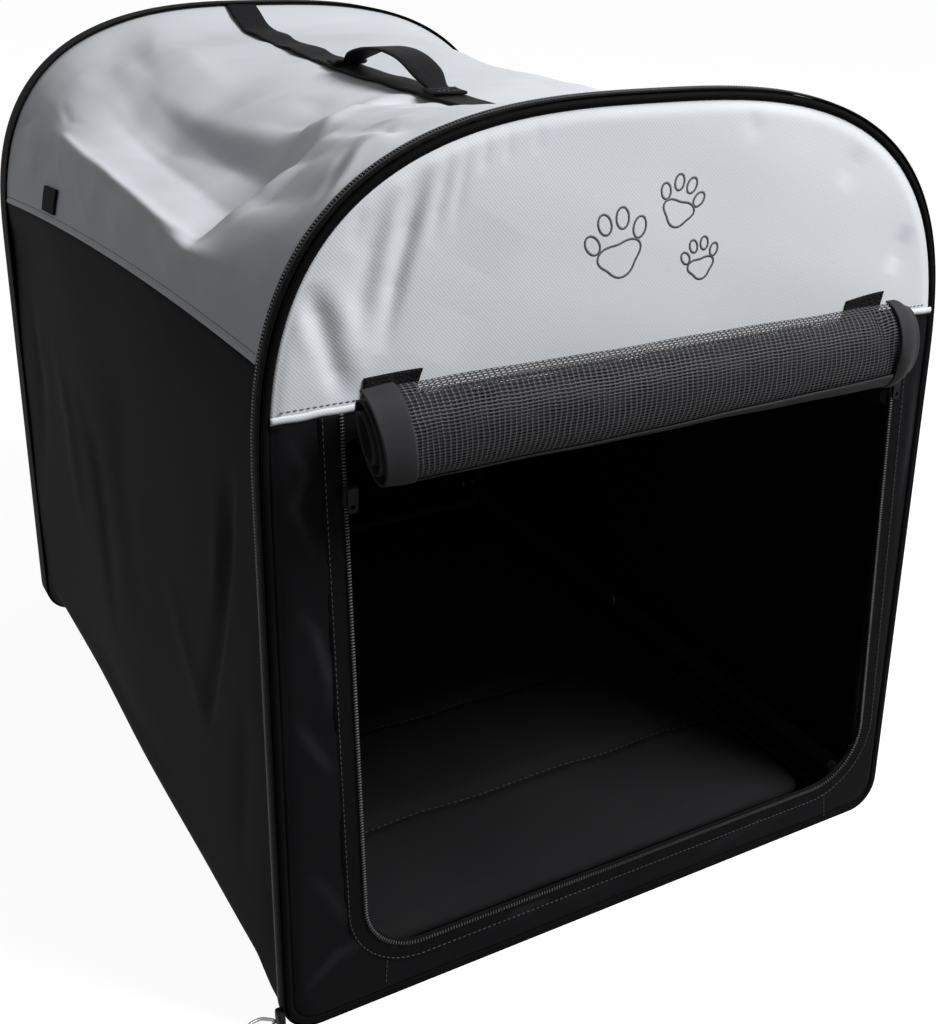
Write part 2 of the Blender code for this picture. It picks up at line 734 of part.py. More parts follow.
def make_zip_tape(parts, finish, hinge):
    """U-shaped band of zip tape round the sides and bottom of the door opening."""
    opening = rounded_corners(DOOR_CORNERS, DOOR_RADII, CORNER_STEPS + 2)
    inner = pushed_out(opening, GAP)
    outer = pushed_out(opening, ZIP_TAPE_WIDTH)
    bottom = 2 * (CORNER_STEPS + 3)
    top = PANEL_SEAM - 4 * GAP
    left = door_edge(-1, top)
    right = door_edge(1, top)
    tape = [(left - ZIP_TAPE_WIDTH, top)] + outer[:bottom] + [(right + ZIP_TAPE_WIDTH, top)]
    tape += [(right + GAP, top)] + inner[:bottom][::-1] + [(left - GAP, top)]
    centre = (0.0, -HALF_L - GAP - ZIP_TAPE_THICK / 2, 0.0)
    place(plate("door_zip_tape", [tape], ZIP_TAPE_THICK, centre, UPRIGHT_PLATE),
          parts, finish["binding"], hinge)


def make_tabs(parts, finish, hinge):
    """Hook-and-loop tabs on the front panel, which hold the roll up."""
    y = -HALF_L - GAP - TAB_SIZE[1] / 2
    for name, x in (("left_tab", LEFT_TAB_X), ("right_tab", RIGHT_TAB_X)):
        place(block(name, TAB_SIZE, (x, y, TAB_Z)), parts, finish["hook"], hinge)


def pull_outline():
    """Zip pull that hangs down from the origin, with a small hole near its free end."""
    half = PULL_WIDTH / 2
    corners = ((-half, -PULL_LENGTH), (half, -PULL_LENGTH), (half, 0.0), (-half, 0.0))
    hole = arc((0.0, -PULL_HOLE_DROP), PULL_HOLE, 0, 360, RAIL_HOLE_STEPS)[:-1]
    return [rounded_corners(corners, (half * 0.6,) * 4, 3), hole]


def pull_top():
    """Height of the edge that a door slider's pull hangs and swings from."""
    return SLIDER_Z + SLIDER[2] / 2 + GAP


def make_door_sliders(parts, finish, hinges):
    """Slider and hanging pull on each side of the door's zip."""
    depth = SLIDER[1]
    back = -HALF_L - 2 * GAP - ZIP_TAPE_THICK
    for side, word in ((-1, "left"), (1, "right")):
        x = door_edge(side, SLIDER_Z)
        slider = block(f"{word}_zip_slider", SLIDER, (x, back - depth / 2, SLIDER_Z), 0.0012)
        place(slider, parts, finish["slider"], hinges[f"{word}_slider"])
        centre = (x, back - depth - GAP - PULL_THICK / 2, pull_top())
        pull = plate(f"{word}_zip_pull", pull_outline(), PULL_THICK, centre, UPRIGHT_PLATE)
        place(pull, parts, finish["slider"], hinges[f"{word}_pull"])


def rim_loop_end():
    """x of the wire centre where the rim's cord loop meets its slider."""
    return -HALF_W - GAP - SLIDER[1] - GAP - RIM_LOOP_WIRE


def make_rim_slider(parts, finish, hinges):
    """Slider at the foot of the front panel's edge zip, with a small cord loop for a pull."""
    x = -HALF_W - GAP - SLIDER[1] / 2
    y = -HALF_L + FRONT_PIPING
    size = (SLIDER[1], SLIDER[0], SLIDER[2])
    place(block("rim_zip_slider", size, (x, y, RIM_SLIDER_Z), 0.0012),
          parts, finish["slider"], hinges["rim_slider"])
    centre = rim_loop_end() - RIM_LOOP_LONG
    ring = []
    for i in range(20):
        angle = 2 * math.pi * i / 20
        ring.append((centre + RIM_LOOP_LONG * math.cos(angle), y + RIM_LOOP_SHORT * math.sin(angle),
                     RIM_SLIDER_Z))
    place(tube("rim_zip_pull", ring, RIM_LOOP_WIRE, 1, closed=True),
          parts, finish["webbing"], hinges["rim_pull"])


def hinge_empty(name, location, parts, parent=None):
    """Empty on a joint's axis, which carries the pieces that move with it."""
    empty = bpy.data.objects.new(name, None)
    empty.empty_display_size = 0.02
    empty.location = location
    parts.objects.link(empty)
    bpy.context.view_layer.update()
    if parent:
        empty.parent = parent
        empty.matrix_parent_inverse = parent.matrix_world.inverted()
    return empty


def make_hinges(parts):
    """Joint empties, nested as the frame folds."""
    slider_y = -HALF_L - 2 * GAP - ZIP_TAPE_THICK - SLIDER[1]
    hinges = {}
    hinges["lower_rear"] = hinge_empty("fold_axis", (0.0, TUBE_Y, LOWER_RAIL_Z), parts)
    hinges["lower_middle"] = hinge_empty(
        "lower_middle_axis", (0.0, 0.0, LOWER_RAIL_Z), parts, hinges["lower_rear"])
    hinges["front_frame"] = hinge_empty(
        "front_frame_axis", (0.0, -TUBE_Y, LOWER_RAIL_Z), parts, hinges["lower_middle"])
    hinges["upper_rear"] = hinge_empty("upper_rear_axis", (0.0, TUBE_Y, UPPER_RAIL_Z), parts)
    hinges["upper_middle"] = hinge_empty(
        "upper_middle_axis", (0.0, 0.0, UPPER_RAIL_Z), parts, hinges["upper_rear"])
    hinges["door"] = hinge_empty(
        "door_axis", (0.0, -HALF_L - 2 * GAP, ROLL_Z + ROLL_RISE + 0.002), parts, hinges["front_frame"])
    hinges["handle"] = hinge_empty("handle_axis", (STRAP_X, 0.0, HANDLE_Z), parts)
    for side, word in ((-1, "left"), (1, "right")):
        x = door_edge(side, SLIDER_Z)
        hinges[f"{word}_slider"] = hinge_empty(
            f"{word}_slider_track", (x, slider_y, SLIDER_Z), parts, hinges["front_frame"])
        hinges[f"{word}_pull"] = hinge_empty(
            f"{word}_pull_axis", (x, slider_y - GAP, pull_top()), parts, hinges[f"{word}_slider"])
    rim = (rim_loop_end(), -HALF_L + FRONT_PIPING, RIM_SLIDER_Z)
    hinges["rim_slider"] = hinge_empty("rim_slider_track", rim, parts, hinges["front_frame"])
    hinges["rim_pull"] = hinge_empty("rim_pull_axis", rim, parts, hinges["rim_slider"])
    return hinges


def shade_round_pieces(parts):
    """Smooth shading on the round and soft pieces."""
    for obj in parts.objects:
        if obj.type == "MESH":
            obj.data.shade_smooth()
            obj.data.set_sharp_from_angle(angle=math.radians(40))


def main():
    for obj in list(bpy.data.objects):
        bpy.data.objects.remove(obj)
    parts = bpy.data.collections.new("Pet carrier")
    cutters = bpy.data.collections.new("Cutters")
    bpy.context.scene.collection.children.link(parts)
    bpy.context.scene.collection.children.link(cutters)
    finish = {
        "grey": ((0.52, 0.55, 0.58), 0.75, 0.0),
        "black": ((0.012, 0.012, 0.014), 0.7, 0.0),
        "binding": ((0.015, 0.015, 0.016), 0.6, 0.0),
        "webbing": ((0.010, 0.010, 0.011), 0.8, 0.0),
        "mesh": ((0.020, 0.018, 0.021), 0.5, 0.0),
        "hook": ((0.008, 0.008, 0.008), 0.9, 0.0),
        "steel": ((0.035, 0.035, 0.038), 0.35, 0.9),
        "bright": ((0.55, 0.55, 0.55), 0.3, 1.0),
        "plastic": ((0.020, 0.020, 0.020), 0.45, 0.0),
        "slider": ((0.020, 0.020, 0.022), 0.3, 0.8),
        "pad": ((0.010, 0.010, 0.011), 0.85, 0.0),
    }
    hinges = make_hinges(parts)
    for end, parent in ((-1, hinges["front_frame"]), (1, None)):
        make_hoop(parts, cutters, finish, end, parent)
        make_panels(parts, finish, end, parent)
    make_linkage(parts, finish, hinges)
    make_walls(parts, finish)
    make_roof(parts, finish)
    make_strap(parts, finish)
    make_handle(parts, finish, hinges["handle"])
    make_floor(parts, finish)
    make_roll(parts, finish, hinges["door"])
    make_zip_tape(parts, finish, hinges["front_frame"])
    make_tabs(parts, finish, hinges["front_frame"])
    make_door_sliders(parts, finish, hinges)
    make_rim_slider(parts, finish, hinges)
    shade_round_pieces(parts)


main()
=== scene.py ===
"""Looks of a soft-sided pet carrier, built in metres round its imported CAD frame.

The front panel faces -Y and up is +Z. Cloth, zips, stitches, net and webbing are modelled here. The steel
frame, its plastic elbows, the rivets, the zip sliders and the door's zip pulls keep their CAD shapes and get
finer materials.
"""

import logging
import math
from collections.abc import Callable, Iterable, Sequence
from dataclasses import dataclass, field
from enum import Enum
from functools import cached_property

import bmesh
import bpy
import numpy as np
from mathutils import Matrix, Vector


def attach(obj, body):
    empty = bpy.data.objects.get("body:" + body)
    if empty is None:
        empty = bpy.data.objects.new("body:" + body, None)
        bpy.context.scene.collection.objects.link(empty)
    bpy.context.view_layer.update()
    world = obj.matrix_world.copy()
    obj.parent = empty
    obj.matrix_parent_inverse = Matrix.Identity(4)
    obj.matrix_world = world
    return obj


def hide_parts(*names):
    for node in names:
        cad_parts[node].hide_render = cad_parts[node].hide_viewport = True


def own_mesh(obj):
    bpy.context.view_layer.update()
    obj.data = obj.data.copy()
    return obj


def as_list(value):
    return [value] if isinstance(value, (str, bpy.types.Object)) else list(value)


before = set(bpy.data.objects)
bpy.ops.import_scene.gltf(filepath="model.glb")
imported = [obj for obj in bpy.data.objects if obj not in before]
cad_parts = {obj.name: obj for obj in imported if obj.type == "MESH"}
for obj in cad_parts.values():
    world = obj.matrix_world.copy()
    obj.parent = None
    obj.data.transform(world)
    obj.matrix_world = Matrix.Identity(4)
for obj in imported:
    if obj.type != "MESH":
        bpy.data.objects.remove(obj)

log = logging.getLogger("pet_carrier")

Array = np.ndarray
Laid = tuple[Array, Array]
Colour = tuple[float, float, float]
Place2 = tuple[float, float]
Place3 = tuple[float, float, float]
Piece = bpy.types.Object
Material = bpy.types.Material
NodeTree = bpy.types.NodeTree
Socket = bpy.types.NodeSocket
BMesh = bmesh.types.BMesh

CLOTH_UV = "Cloth"
# Point attribute that holds the painted highlight along fold crests
CREST_HIGHLIGHT = "Crest highlight"
WHITE = (1.0, 1.0, 1.0, 1.0)
UP = (0.0, 0.0, 1.0)
MEETING = 2e-6
TINY = 1e-7
MM = 0.001

# Body, as in the part's source
WIDTH = 0.460
HEIGHT = 0.530
LENGTH = 0.610
SPRING = 0.336
ARCH_POWER = 2.84
CORNER = 0.021
GAP = 0.0003
FRONT_PIPING = 0.0035
REAR_PIPING = 0.0040
PANEL_SEAM = 0.3815
SIDE_SEAM_FRONT = 0.408
SIDE_SEAM_DROP = 0.034
TUBE = 0.006
HALF_W = WIDTH / 2
HALF_L = LENGTH / 2
TUBE_Y = HALF_L - 2 * FRONT_PIPING - GAP - TUBE
SHEET_END = HALF_L - 2 * REAR_PIPING - GAP

# Sag of the roof: each section gives (inwards, downwards) in mm at SAG_SHARES of the way across from the left
# seam. Two sections meet at the hump's edge, and the rear ones take over along REAR_SAG_Y.
SAG_SHARES = (0, 3 / 28, 4 / 28, 6 / 28, 8 / 28, 10 / 28, 12 / 28, 0.5, 17 / 28, 20 / 28, 23 / 28, 26 / 28, 1)
RIGHT_SAG = ((4, 30), (4, 23), (3.5, 16), (3, 10), (0, 0))
REAR_RIGHT_SAG = ((2, 19), (2, 15), (2.5, 11), (2, 7), (0, 0))
BASIN_SAG = ((0, 0), (-2, 7.5), (3.5, 23), (13.5, 50), (15, 57), (8, 33), (4, 31.5), (0, 32.5))
REAR_BASIN_SAG = ((0, 0), (1, 2), (1, 3), (3, 9), (6, 19), (7, 27), (5, 28), (0, 24))
HUMP_SAG = ((0, 0), (-2, 7.5), (3, 18), (8, 34), (9, 44), (7, 41), (5, 35), (0, 32.5))
REAR_HUMP_SAG = ((0, 0), (1, 2), (1, 3), (3, 6), (4, 9), (5, 15), (4, 21), (0, 24))
REAR_SAG_Y = (0.060, 0.220)
# The left edge of the hump as (y in m, arc from the left seam in mm)
HUMP_EDGE = ((-0.100, 300), (-0.088, 260), (-0.080, 212), (-0.052, 192), (0.010, 176), (0.127, 162),
             (0.200, 180), (0.260, 205), (0.300, 215))
HUMP_SLOPE = 0.023
# The basin's front edge as (arc in mm, y in m), and the power of the cloth's fall to it from the front hoop,
# which eases off along FALL_ARC and gives way to the plain reach over FALL_SHARE of the way across
BASIN_FRONT = ((46, -0.164), (83, -0.134), (100, -0.120), (125, -0.102), (153, -0.088), (171, -0.083),
               (195, -0.078), (230, -0.076))
FALL_POWER = 2.2
FALL_EASE = 1.2
FALL_ARC = (0.045, 0.200)
FALL_SHARE = (0.40, 0.49)
# The left crease as (y in m, arc in mm)
CREASE_LINE = ((-0.305, 40), (-0.155, 46), (-0.044, 58), (0.064, 71), (0.176, 72), (0.280, 87))
ROOF_ARC = 0.582
SAG_SOFTNESS = (-0.006, 0.0, 0.006)
# How far from a hoop the sag builds up, how abruptly, and the share beside a seam where folds die away
SAG_REACH = 0.034
HOOP_POWER = 1.5
SEAM_CALM = 0.08

# Roof webbing and handle
STRAP_X = -0.012
STRAP_WIDTH = 0.025
STRAP_THICK = 0.0016
STRAP_FRONT = -0.270
STRAP_REAR = 0.2815
STRAP_DRIFT = 0.0115
STRAP_DRIFT_Y = (0.095, 0.250)

# Door
DOOR_CORNERS = ((-0.177, 0.036), (0.206, 0.036), (0.194, 0.366), (-0.185, 0.366))
DOOR_RADII = (0.036, 0.040, 0.006, 0.006)
ZIP_TAPE_WIDTH = 0.014

# Rims
RING_STEPS = 420
BAND_HALF_THICK = 0.0005


class Body(str, Enum):
    """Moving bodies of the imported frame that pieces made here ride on."""

    REAR = "rear_frame"
    FRONT = "front_frame"
    DOOR = "mesh_door"
    HANDLE = "handle"
    RIM_PULL = "rim_pull"


# Shape of the body

def superellipse(angle: Array, inset: float) -> Laid:
    """Points of the arch.

    Args:
        angle: angles from the right-hand spring line, in radians.
        inset: how far the arch is drawn in, in metres.

    Returns:
        The x and the z of each point.
    """
    power = 2 / ARCH_POWER
    side = np.sign(np.cos(angle)) * np.abs(np.cos(angle)) ** power
    return (HALF_W - inset) * side, SPRING + (HEIGHT - SPRING - inset) * np.abs(np.sin(angle)) ** power


def arch_angle(z: Array, inset: float) -> Array:
    """Angle at which the arch, drawn in by inset, reaches heights z on its right-hand side."""
    share = np.maximum(0.0, (np.asarray(z, float) - SPRING) / (HEIGHT - SPRING - inset))
    return np.arcsin(np.minimum(1.0, share ** (ARCH_POWER / 2)))


def side_seam(y: Array) -> Array:
    """Height of the seam along the sides, which falls towards the rear."""
    share = (np.asarray(y, float) + HALF_L) / LENGTH
    return SIDE_SEAM_FRONT - SIDE_SEAM_DROP * share * share


def bump(value: Array, centre: float, width: float) -> Array:
    """Smooth hump, 1 at its centre."""
    return np.exp(-(((value - centre) / width) ** 2))


def eased(value: Array, start: float, end: float) -> Array:
    """Smooth rise from 0 at start to 1 at end."""
    share = np.clip((value - start) / (end - start), 0.0, 1.0)
    return share * share * (3 - 2 * share)


def corner_arc(centre: Place2, radius: float, start: float, end: float, steps: int) -> list[Place2]:
    """Points of an arc in the x-z plane, angles in degrees."""
    angles = [math.radians(start + (end - start) * i / steps) for i in range(steps + 1)]
    return [(centre[0] + radius * math.cos(a), centre[1] + radius * math.sin(a)) for a in angles]


def body_outline(inset: float, steps: int = 160) -> Array:
    """Closed outline of the front or rear, drawn in by inset, from the lower left corner."""
    points = corner_arc((-HALF_W + CORNER, CORNER), CORNER - inset, 180, 270, 8)
    points += corner_arc((HALF_W - CORNER, CORNER), CORNER - inset, 270, 360, 8)
    x, z = superellipse(np.linspace(0.0, math.pi, steps + 1), inset)
    return np.array(points + list(zip(x, z)))


def rounded_corners(corners: Sequence[Place2], radii: Sequence[float], steps: int) -> list[Place2]:
    """Anticlockwise outline through corners (x, z) with each corner rounded to its radius."""
    points: list[Place2] = []
    for i, radius in enumerate(radii):
        here = Vector(corners[i])
        before = (Vector(corners[i - 1]) - here).normalized()
        after = (Vector(corners[(i + 1) % len(corners)]) - here).normalized()
        half = before.angle(after) / 2
        centre = here + (before + after).normalized() * (radius / math.sin(half))
        start = here + before * (radius / math.tan(half)) - centre
        first = math.degrees(math.atan2(start.y, start.x))
        points += corner_arc(centre, radius, first, first + 180 - 2 * math.degrees(half), steps)
    return points


def door_edge(side: int, z: float) -> float:
    """x of the door opening's left (-1) or right (+1) edge at height z."""
    low, high = (DOOR_CORNERS[0], DOOR_CORNERS[3]) if side < 0 else (DOOR_CORNERS[1], DOOR_CORNERS[2])
    return low[0] + (high[0] - low[0]) * (z - low[1]) / (high[1] - low[1])


def columns(*parts: Array | float) -> Array:
    """Rows made of these columns, in which a single number fills its column."""
    count = max(len(part) for part in parts if np.ndim(part))
    return np.column_stack([part if np.ndim(part) else np.full(count, float(part)) for part in parts])


def bisected(short: Callable[[Array], Array], high: Array, steps: int) -> Array:
    """Values between 0 and high where short stops holding, found by halving."""
    low = np.zeros(len(high))
    for _ in range(steps):
        middle = (low + high) / 2
        under = short(middle)
        low, high = np.where(under, middle, low), np.where(under, high, middle)
    return low


def run_along(path: Array) -> Array:
    """Distance along a path at each of its points."""
    return np.concatenate([[0.0], np.cumsum(np.linalg.norm(np.diff(path, axis=0), axis=1))])


@dataclass(frozen=True)
class Track:
    """A line in the x-z plane, measured along its length.

    Attributes:
        points: corners of the line, in metres.
        closed: whether the last point joins the first.
    """

    points: Array
    closed: bool = False

    def _ring(self) -> Array:
        """Corners of the line, with the first one again at the end of a closed one."""
        return np.vstack([self.points, self.points[:1]]) if self.closed else self.points

    def length(self) -> float:
        """Length of the line in metres."""
        return float(np.linalg.norm(np.diff(self._ring(), axis=0), axis=1).sum())

    def at(self, distance: Array) -> Array:
        """Places at distances along the line, as rows of x and z."""
        ring = self._ring()
        run = run_along(ring)
        where = np.mod(distance, run[-1]) if self.closed else np.clip(distance, 0.0, run[-1])
        return columns(np.interp(where, run, ring[:, 0]), np.interp(where, run, ring[:, 1]))

    def side(self, distance: Array) -> Array:
        """Unit vectors to the right of travel, which point outwards on an anticlockwise outline."""
        step = 0.0015
        run = self.at(np.asarray(distance) + step) - self.at(np.asarray(distance) - step)
        run /= np.maximum(np.linalg.norm(run, axis=1, keepdims=True), 1e-9)
        return columns(run[:, 1], -run[:, 0])

    def even(self, count: int) -> Array:
        """Distances of count evenly spaced places, which take in both ends of an open line."""
        return np.linspace(0.0, self.length(), count, endpoint=not self.closed)


@dataclass(frozen=True)
class Fold:
    """A crease or ridge along a line on the flat cloth.

    Attributes:
        path: places along it, in mm.
        width: half width of its slope, in mm.
        height: how far it stands out (or in, below 0), in mm.
        skew: above 0, the slope to the left of travel is the wider one.
        fade: share of its length over which each end dies away.
    """

    path: tuple[Place2, ...]
    width: float
    height: float
    skew: float = 0.0
    fade: float = 0.35

    def relief(self, flat: Array) -> Array:
        """Height in metres at each place of the flat cloth, given in metres."""
        corners = np.array(self.path) * MM
        before = run_along(corners)
        spans = np.linalg.norm(np.diff(corners, axis=0), axis=1)
        nearest = np.full(len(flat), 1e9)
        hand = np.zeros(len(flat))
        along = np.zeros(len(flat))
        for start, end, span, run in zip(corners, corners[1:], spans, before):
            way = (end - start) / span
            apart = flat - start
            reach = np.clip(apart @ way, 0.0, span)
            off = apart - reach[:, None] * way
            distance = np.linalg.norm(off, axis=1)
            closer = distance < nearest
            nearest = np.where(closer, distance, nearest)
            hand = np.where(closer, np.sign(way[0] * apart[:, 1] - way[1] * apart[:, 0]), hand)
            along = np.where(closer, (run + reach) / before[-1], along)
        fade = np.clip(np.minimum(along, 1 - along) / self.fade, 0.0, 1.0) if self.fade else 1.0
        width = self.width * MM * (1 + self.skew * hand)
        return self.height * MM * np.exp(-((nearest / width) ** 2)) * fade


def folded(folds: Iterable[Fold], flat: Array) -> Array:
    """Height in metres of all these folds together at each place of the flat cloth."""
    return sum((fold.relief(flat) for fold in folds), np.zeros(len(flat)))


def uneven(flat: Array, size: float, seed: int) -> Array:
    """Gentle random waves, mostly between -1 and 1.

    Args:
        flat: places on the flat cloth, in metres.
        size: length of a typical wave, in metres.
        seed: picks the waves.

    Returns:
        One value for each place.
    """
    rng = np.random.default_rng(seed)
    total = np.zeros(len(flat))
    for _ in range(9):
        heading, phase = rng.uniform(0, 2 * math.pi, 2)
        pitch = size * rng.uniform(0.55, 1.7)
        run = flat[:, 0] * math.cos(heading) + flat[:, 1] * math.sin(heading)
        total += np.sin(run * 2 * math.pi / pitch + phase)
    return total / 4.5


ROOF_FOLDS = (
    Fold(((338, 250), (419, 30)), 24, -5.0, fade=0.4),
    Fold(((240, -78), (262, -80), (290, -70)), 9, -4.0, fade=0.3),
)


def roof_sag(section: Sequence[Place2], right: Sequence[Place2], share: Array) -> Array:
    """Inward and downward sag in metres of one cross-section at shares of the way across."""
    values = np.array(tuple(section) + tuple(right), float) * MM
    shares = np.array(SAG_SHARES)
    shares = np.concatenate([[-shares[1]], shares, [2 - shares[-2]]])
    values = np.vstack([-values[1], values, -values[-2]])

    def tap(places: Array) -> Array:
        return np.column_stack([np.interp(places, shares, values[:, k]) for k in (0, 1)])

    return sum(tap(share + step) for step in SAG_SOFTNESS) / len(SAG_SOFTNESS)


def creased(y: Array, share: Array) -> Array:
    """Share across, shifted so that the sag's left crease follows its line along the roof."""
    highlight_line = np.array(CREASE_LINE)
    crease = np.interp(y, highlight_line[:, 0], highlight_line[:, 1] * MM) / ROOF_ARC
    inside = SAG_SHARES[1] + (share - crease) * (0.5 - SAG_SHARES[1]) / (0.5 - crease)
    return np.where(share < crease, share * SAG_SHARES[1] / crease, np.where(share < 0.5, inside, share))


def roof_point(y: Array, share: Array, inset: float) -> Array:
    """Points of the sagging roof.

    Args:
        y: places along the roof, in metres.
        share: 0 at the left seam to 1 at the right one.
        inset: how far inside the arch the cloth lies, in metres.

    Returns:
        Rows of x, y and z.
    """
    low = arch_angle(side_seam(y) + GAP / 2, inset)
    x, z = superellipse(math.pi - low - (math.pi - 2 * low) * share, inset)
    arc = share * ROOF_ARC
    rear = eased(y, *REAR_SAG_Y)[:, None]
    across = creased(y, share)
    basin = roof_sag(BASIN_SAG, RIGHT_SAG, across) * (1 - rear)
    basin = basin + roof_sag(REAR_BASIN_SAG, REAR_RIGHT_SAG, across) * rear
    hump = roof_sag(HUMP_SAG, RIGHT_SAG, share) * (1 - rear)
    hump = hump + roof_sag(REAR_HUMP_SAG, REAR_RIGHT_SAG, share) * rear
    highlight_line = np.array(HUMP_EDGE)
    past = arc - np.interp(y, highlight_line[:, 0], highlight_line[:, 1] * MM)
    inside = eased(past, -HUMP_SLOPE, HUMP_SLOPE)[:, None]
    sag = basin * (1 - inside) + hump * inside
    near_seam = np.minimum(1.0, np.minimum(share, 1 - share) / SEAM_CALM)
    sag[:, 1] -= folded(ROOF_FOLDS, columns(arc, y)) * near_seam
    hoop = TUBE_Y - TUBE
    reach = 1 - np.exp(-((np.maximum(0.0, hoop - np.abs(y)) / SAG_REACH) ** HOOP_POWER))
    highlight_line = np.array(BASIN_FRONT)
    ramp = np.clip((y + hoop) / (np.interp(arc, highlight_line[:, 0] * MM, highlight_line[:, 1]) + hoop), 0.0, 1.0)
    ramp **= FALL_POWER - FALL_EASE * eased(arc, *FALL_ARC)
    left = 1 - eased(share, *FALL_SHARE)
    sag *= np.where(y < 0, reach + (ramp - reach) * left, reach)[:, None]
    return columns(x - np.sign(x) * sag[:, 0], y, z - sag[:, 1])


def roof_share(x: Array, y: Array) -> Array:
    """Share of the way across the roof of the point over each place x, y."""
    return bisected(lambda share: roof_point(y, share, 0.0)[:, 0] < x, np.ones(len(y)), 16)


# Meshes

def new_object(name: str, bm: BMesh, finish: "Finish", smooth: bool = True) -> Piece:
    """Puts a bmesh into the scene as an object with one finish, and frees the bmesh."""
    mesh = bpy.data.meshes.new(name)
    bm.to_mesh(mesh)
    bm.free()
    mesh.materials.append(finish.material)
    if smooth:
        mesh.shade_smooth()
    obj = bpy.data.objects.new(name, mesh)
    bpy.context.scene.collection.objects.link(obj)
    return obj


def settle(obj: Piece) -> None:
    """Applies an object's modifiers to its mesh."""
    bpy.context.view_layer.update()
    shape = obj.evaluated_get(bpy.context.evaluated_depsgraph_get())
    mesh = bpy.data.meshes.new_from_object(shape)
    obj.modifiers.clear()
    obj.data = mesh


def vertex_places(mesh: bpy.types.Mesh) -> Array:
    """Places of a mesh's vertices, as rows of x, y and z."""
    flat = np.empty(len(mesh.vertices) * 3, np.float32)
    mesh.vertices.foreach_get("co", flat)
    return flat.reshape(-1, 3).astype(float)


def move_vertices(mesh: bpy.types.Mesh, points: Array) -> None:
    """Moves a mesh's vertices to these places."""
    mesh.vertices.foreach_set("co", points.astype(np.float32).ravel())


def lay_flat(mesh: bpy.types.Mesh, layer: bpy.types.MeshUVLoopLayer, cloth: Array) -> None:
    """Gives each vertex its place on the flat cloth."""
    corner = np.empty(len(mesh.loops), np.int32)
    mesh.loops.foreach_get("vertex_index", corner)
    layer.data.foreach_set("uv", cloth[corner].astype(np.float32).ravel())


def every(way: Place3, count: int) -> Array:
    """The same vector in each of count rows."""
    return np.tile(np.array(way, float), (count, 1))


@dataclass
class Sheet:
    """A grid bent into a piece of cloth, a band or a tube.

    Attributes:
        name: name of the piece.
        across: number of cells one way.
        along: number of cells the other way.
        place: turns shares u and v, from 0 to 1, into points, their places on the flat cloth and, if the
            cloth gets a painted highlight along its crests, how strong it is, from 0 to 1.
        facing: rough direction of the outer face.
        thick: thickness in metres, added inwards; 0 leaves a single surface.
        weld: merges edges that meet, as on a tube.
        cap: closes the open ends of a tube.
    """

    name: str
    across: int
    along: int
    place: Callable[[Array, Array], tuple[Array, ...]]
    facing: Place3 | None = None
    thick: float = 0.0
    weld: bool = False
    cap: bool = False

    def build(self, finish: "Finish") -> Piece:
        """Makes the piece and gives it a finish."""
        bm = bmesh.new()
        bm.loops.layers.uv.new(CLOTH_UV)
        bmesh.ops.create_grid(bm, x_segments=self.across, y_segments=self.along, size=0.5, calc_uvs=True)
        mesh = bpy.data.meshes.new(self.name)
        bm.to_mesh(mesh)
        shares = vertex_places(mesh) + 0.5
        u = np.round(shares[:, 0] * self.across) / self.across
        v = np.round(shares[:, 1] * self.along) / self.along
        points, cloth, *highlight_share = self.place(u, v)
        move_vertices(mesh, points)
        # An optional third value is a painted highlight along crests, kept as a point attribute
        if highlight_share:
            crest_highlight = mesh.attributes.new(CREST_HIGHLIGHT, "FLOAT", "POINT")
            crest_highlight.data.foreach_set("value", np.clip(highlight_share[0], 0, 1).astype(np.float32))
        lay_flat(mesh, mesh.uv_layers[CLOTH_UV], cloth)
        bm.clear()
        bm.from_mesh(mesh)
        bpy.data.meshes.remove(mesh)
        if self.weld:
            self.close(bm)
        if self.facing:
            lean = sum((f.normal * f.calc_area() for f in bm.faces), Vector())
            if lean.dot(Vector(self.facing)) < 0:
                bmesh.ops.reverse_faces(bm, faces=bm.faces)
        obj = new_object(self.name, bm, finish)
        if self.thick:
            shell = obj.modifiers.new("Thickness", "SOLIDIFY")
            shell.thickness = self.thick
            shell.offset = -1.0
            settle(obj)
        return obj

    def close(self, bm: BMesh) -> None:
        """Joins edges that meet, closes open ends if the piece has caps, and turns the faces outwards."""
        bmesh.ops.remove_doubles(bm, verts=bm.verts, dist=MEETING)
        bmesh.ops.dissolve_degenerate(bm, edges=bm.edges, dist=TINY)
        if self.cap:
            bmesh.ops.holes_fill(bm, edges=[e for e in bm.edges if e.is_boundary], sides=0)
        bmesh.ops.recalc_face_normals(bm, faces=bm.faces)


def round_profile(radius: float, sides: int) -> Array:
    """Closed round profile, as rows of offsets."""
    angles = np.arange(sides) * 2 * math.pi / sides
    return radius * columns(np.cos(angles), np.sin(angles))


def flat_profile(half_width: float, half_thick: float, puff: float = 0.0) -> Array:
    """Closed profile of a flat band with rounded edges, a little thicker in the middle by puff."""
    w, t = half_width, half_thick
    r = t * 0.6
    under = [(-w, -t + r), (-w + r, -t), (-w / 2, -t - puff), (0, -t - puff), (w / 2, -t - puff), (w - r, -t),
             (w, -t + r)]
    return np.array(under + [(-x, -z) for x, z in under])


def swept(name: str, path: Array, first: Array, second: Array, profile: Array, finish: "Finish",
          closed: bool = False) -> Piece:
    """Carries a closed profile along a path.

    Args:
        name: name of the piece.
        path: points of the path, rows of x, y and z.
        first: unit vectors that the profile's first offset goes along, one a point.
        second: unit vectors that its second offset goes along.
        profile: closed profile, rows of two offsets.
        finish: finish of the piece.
        closed: whether the path's end joins its start.

    Returns:
        The object.
    """
    count, sides = len(path), len(profile)
    run = run_along(np.vstack([path, path[:1]]) if closed else path)
    girth = run_along(np.vstack([profile, profile[:1]]))
    last = count if closed else count - 1

    def place(u: Array, v: Array) -> Laid:
        i = np.round(u * last).astype(int)
        j = np.round(v * sides).astype(int)
        here, offset = i % count, profile[j % sides]
        points = path[here] + first[here] * offset[:, :1] + second[here] * offset[:, 1:]
        return points, columns(run[i], girth[j])

    return Sheet(name, last, sides, place, weld=True, cap=not closed).build(finish)


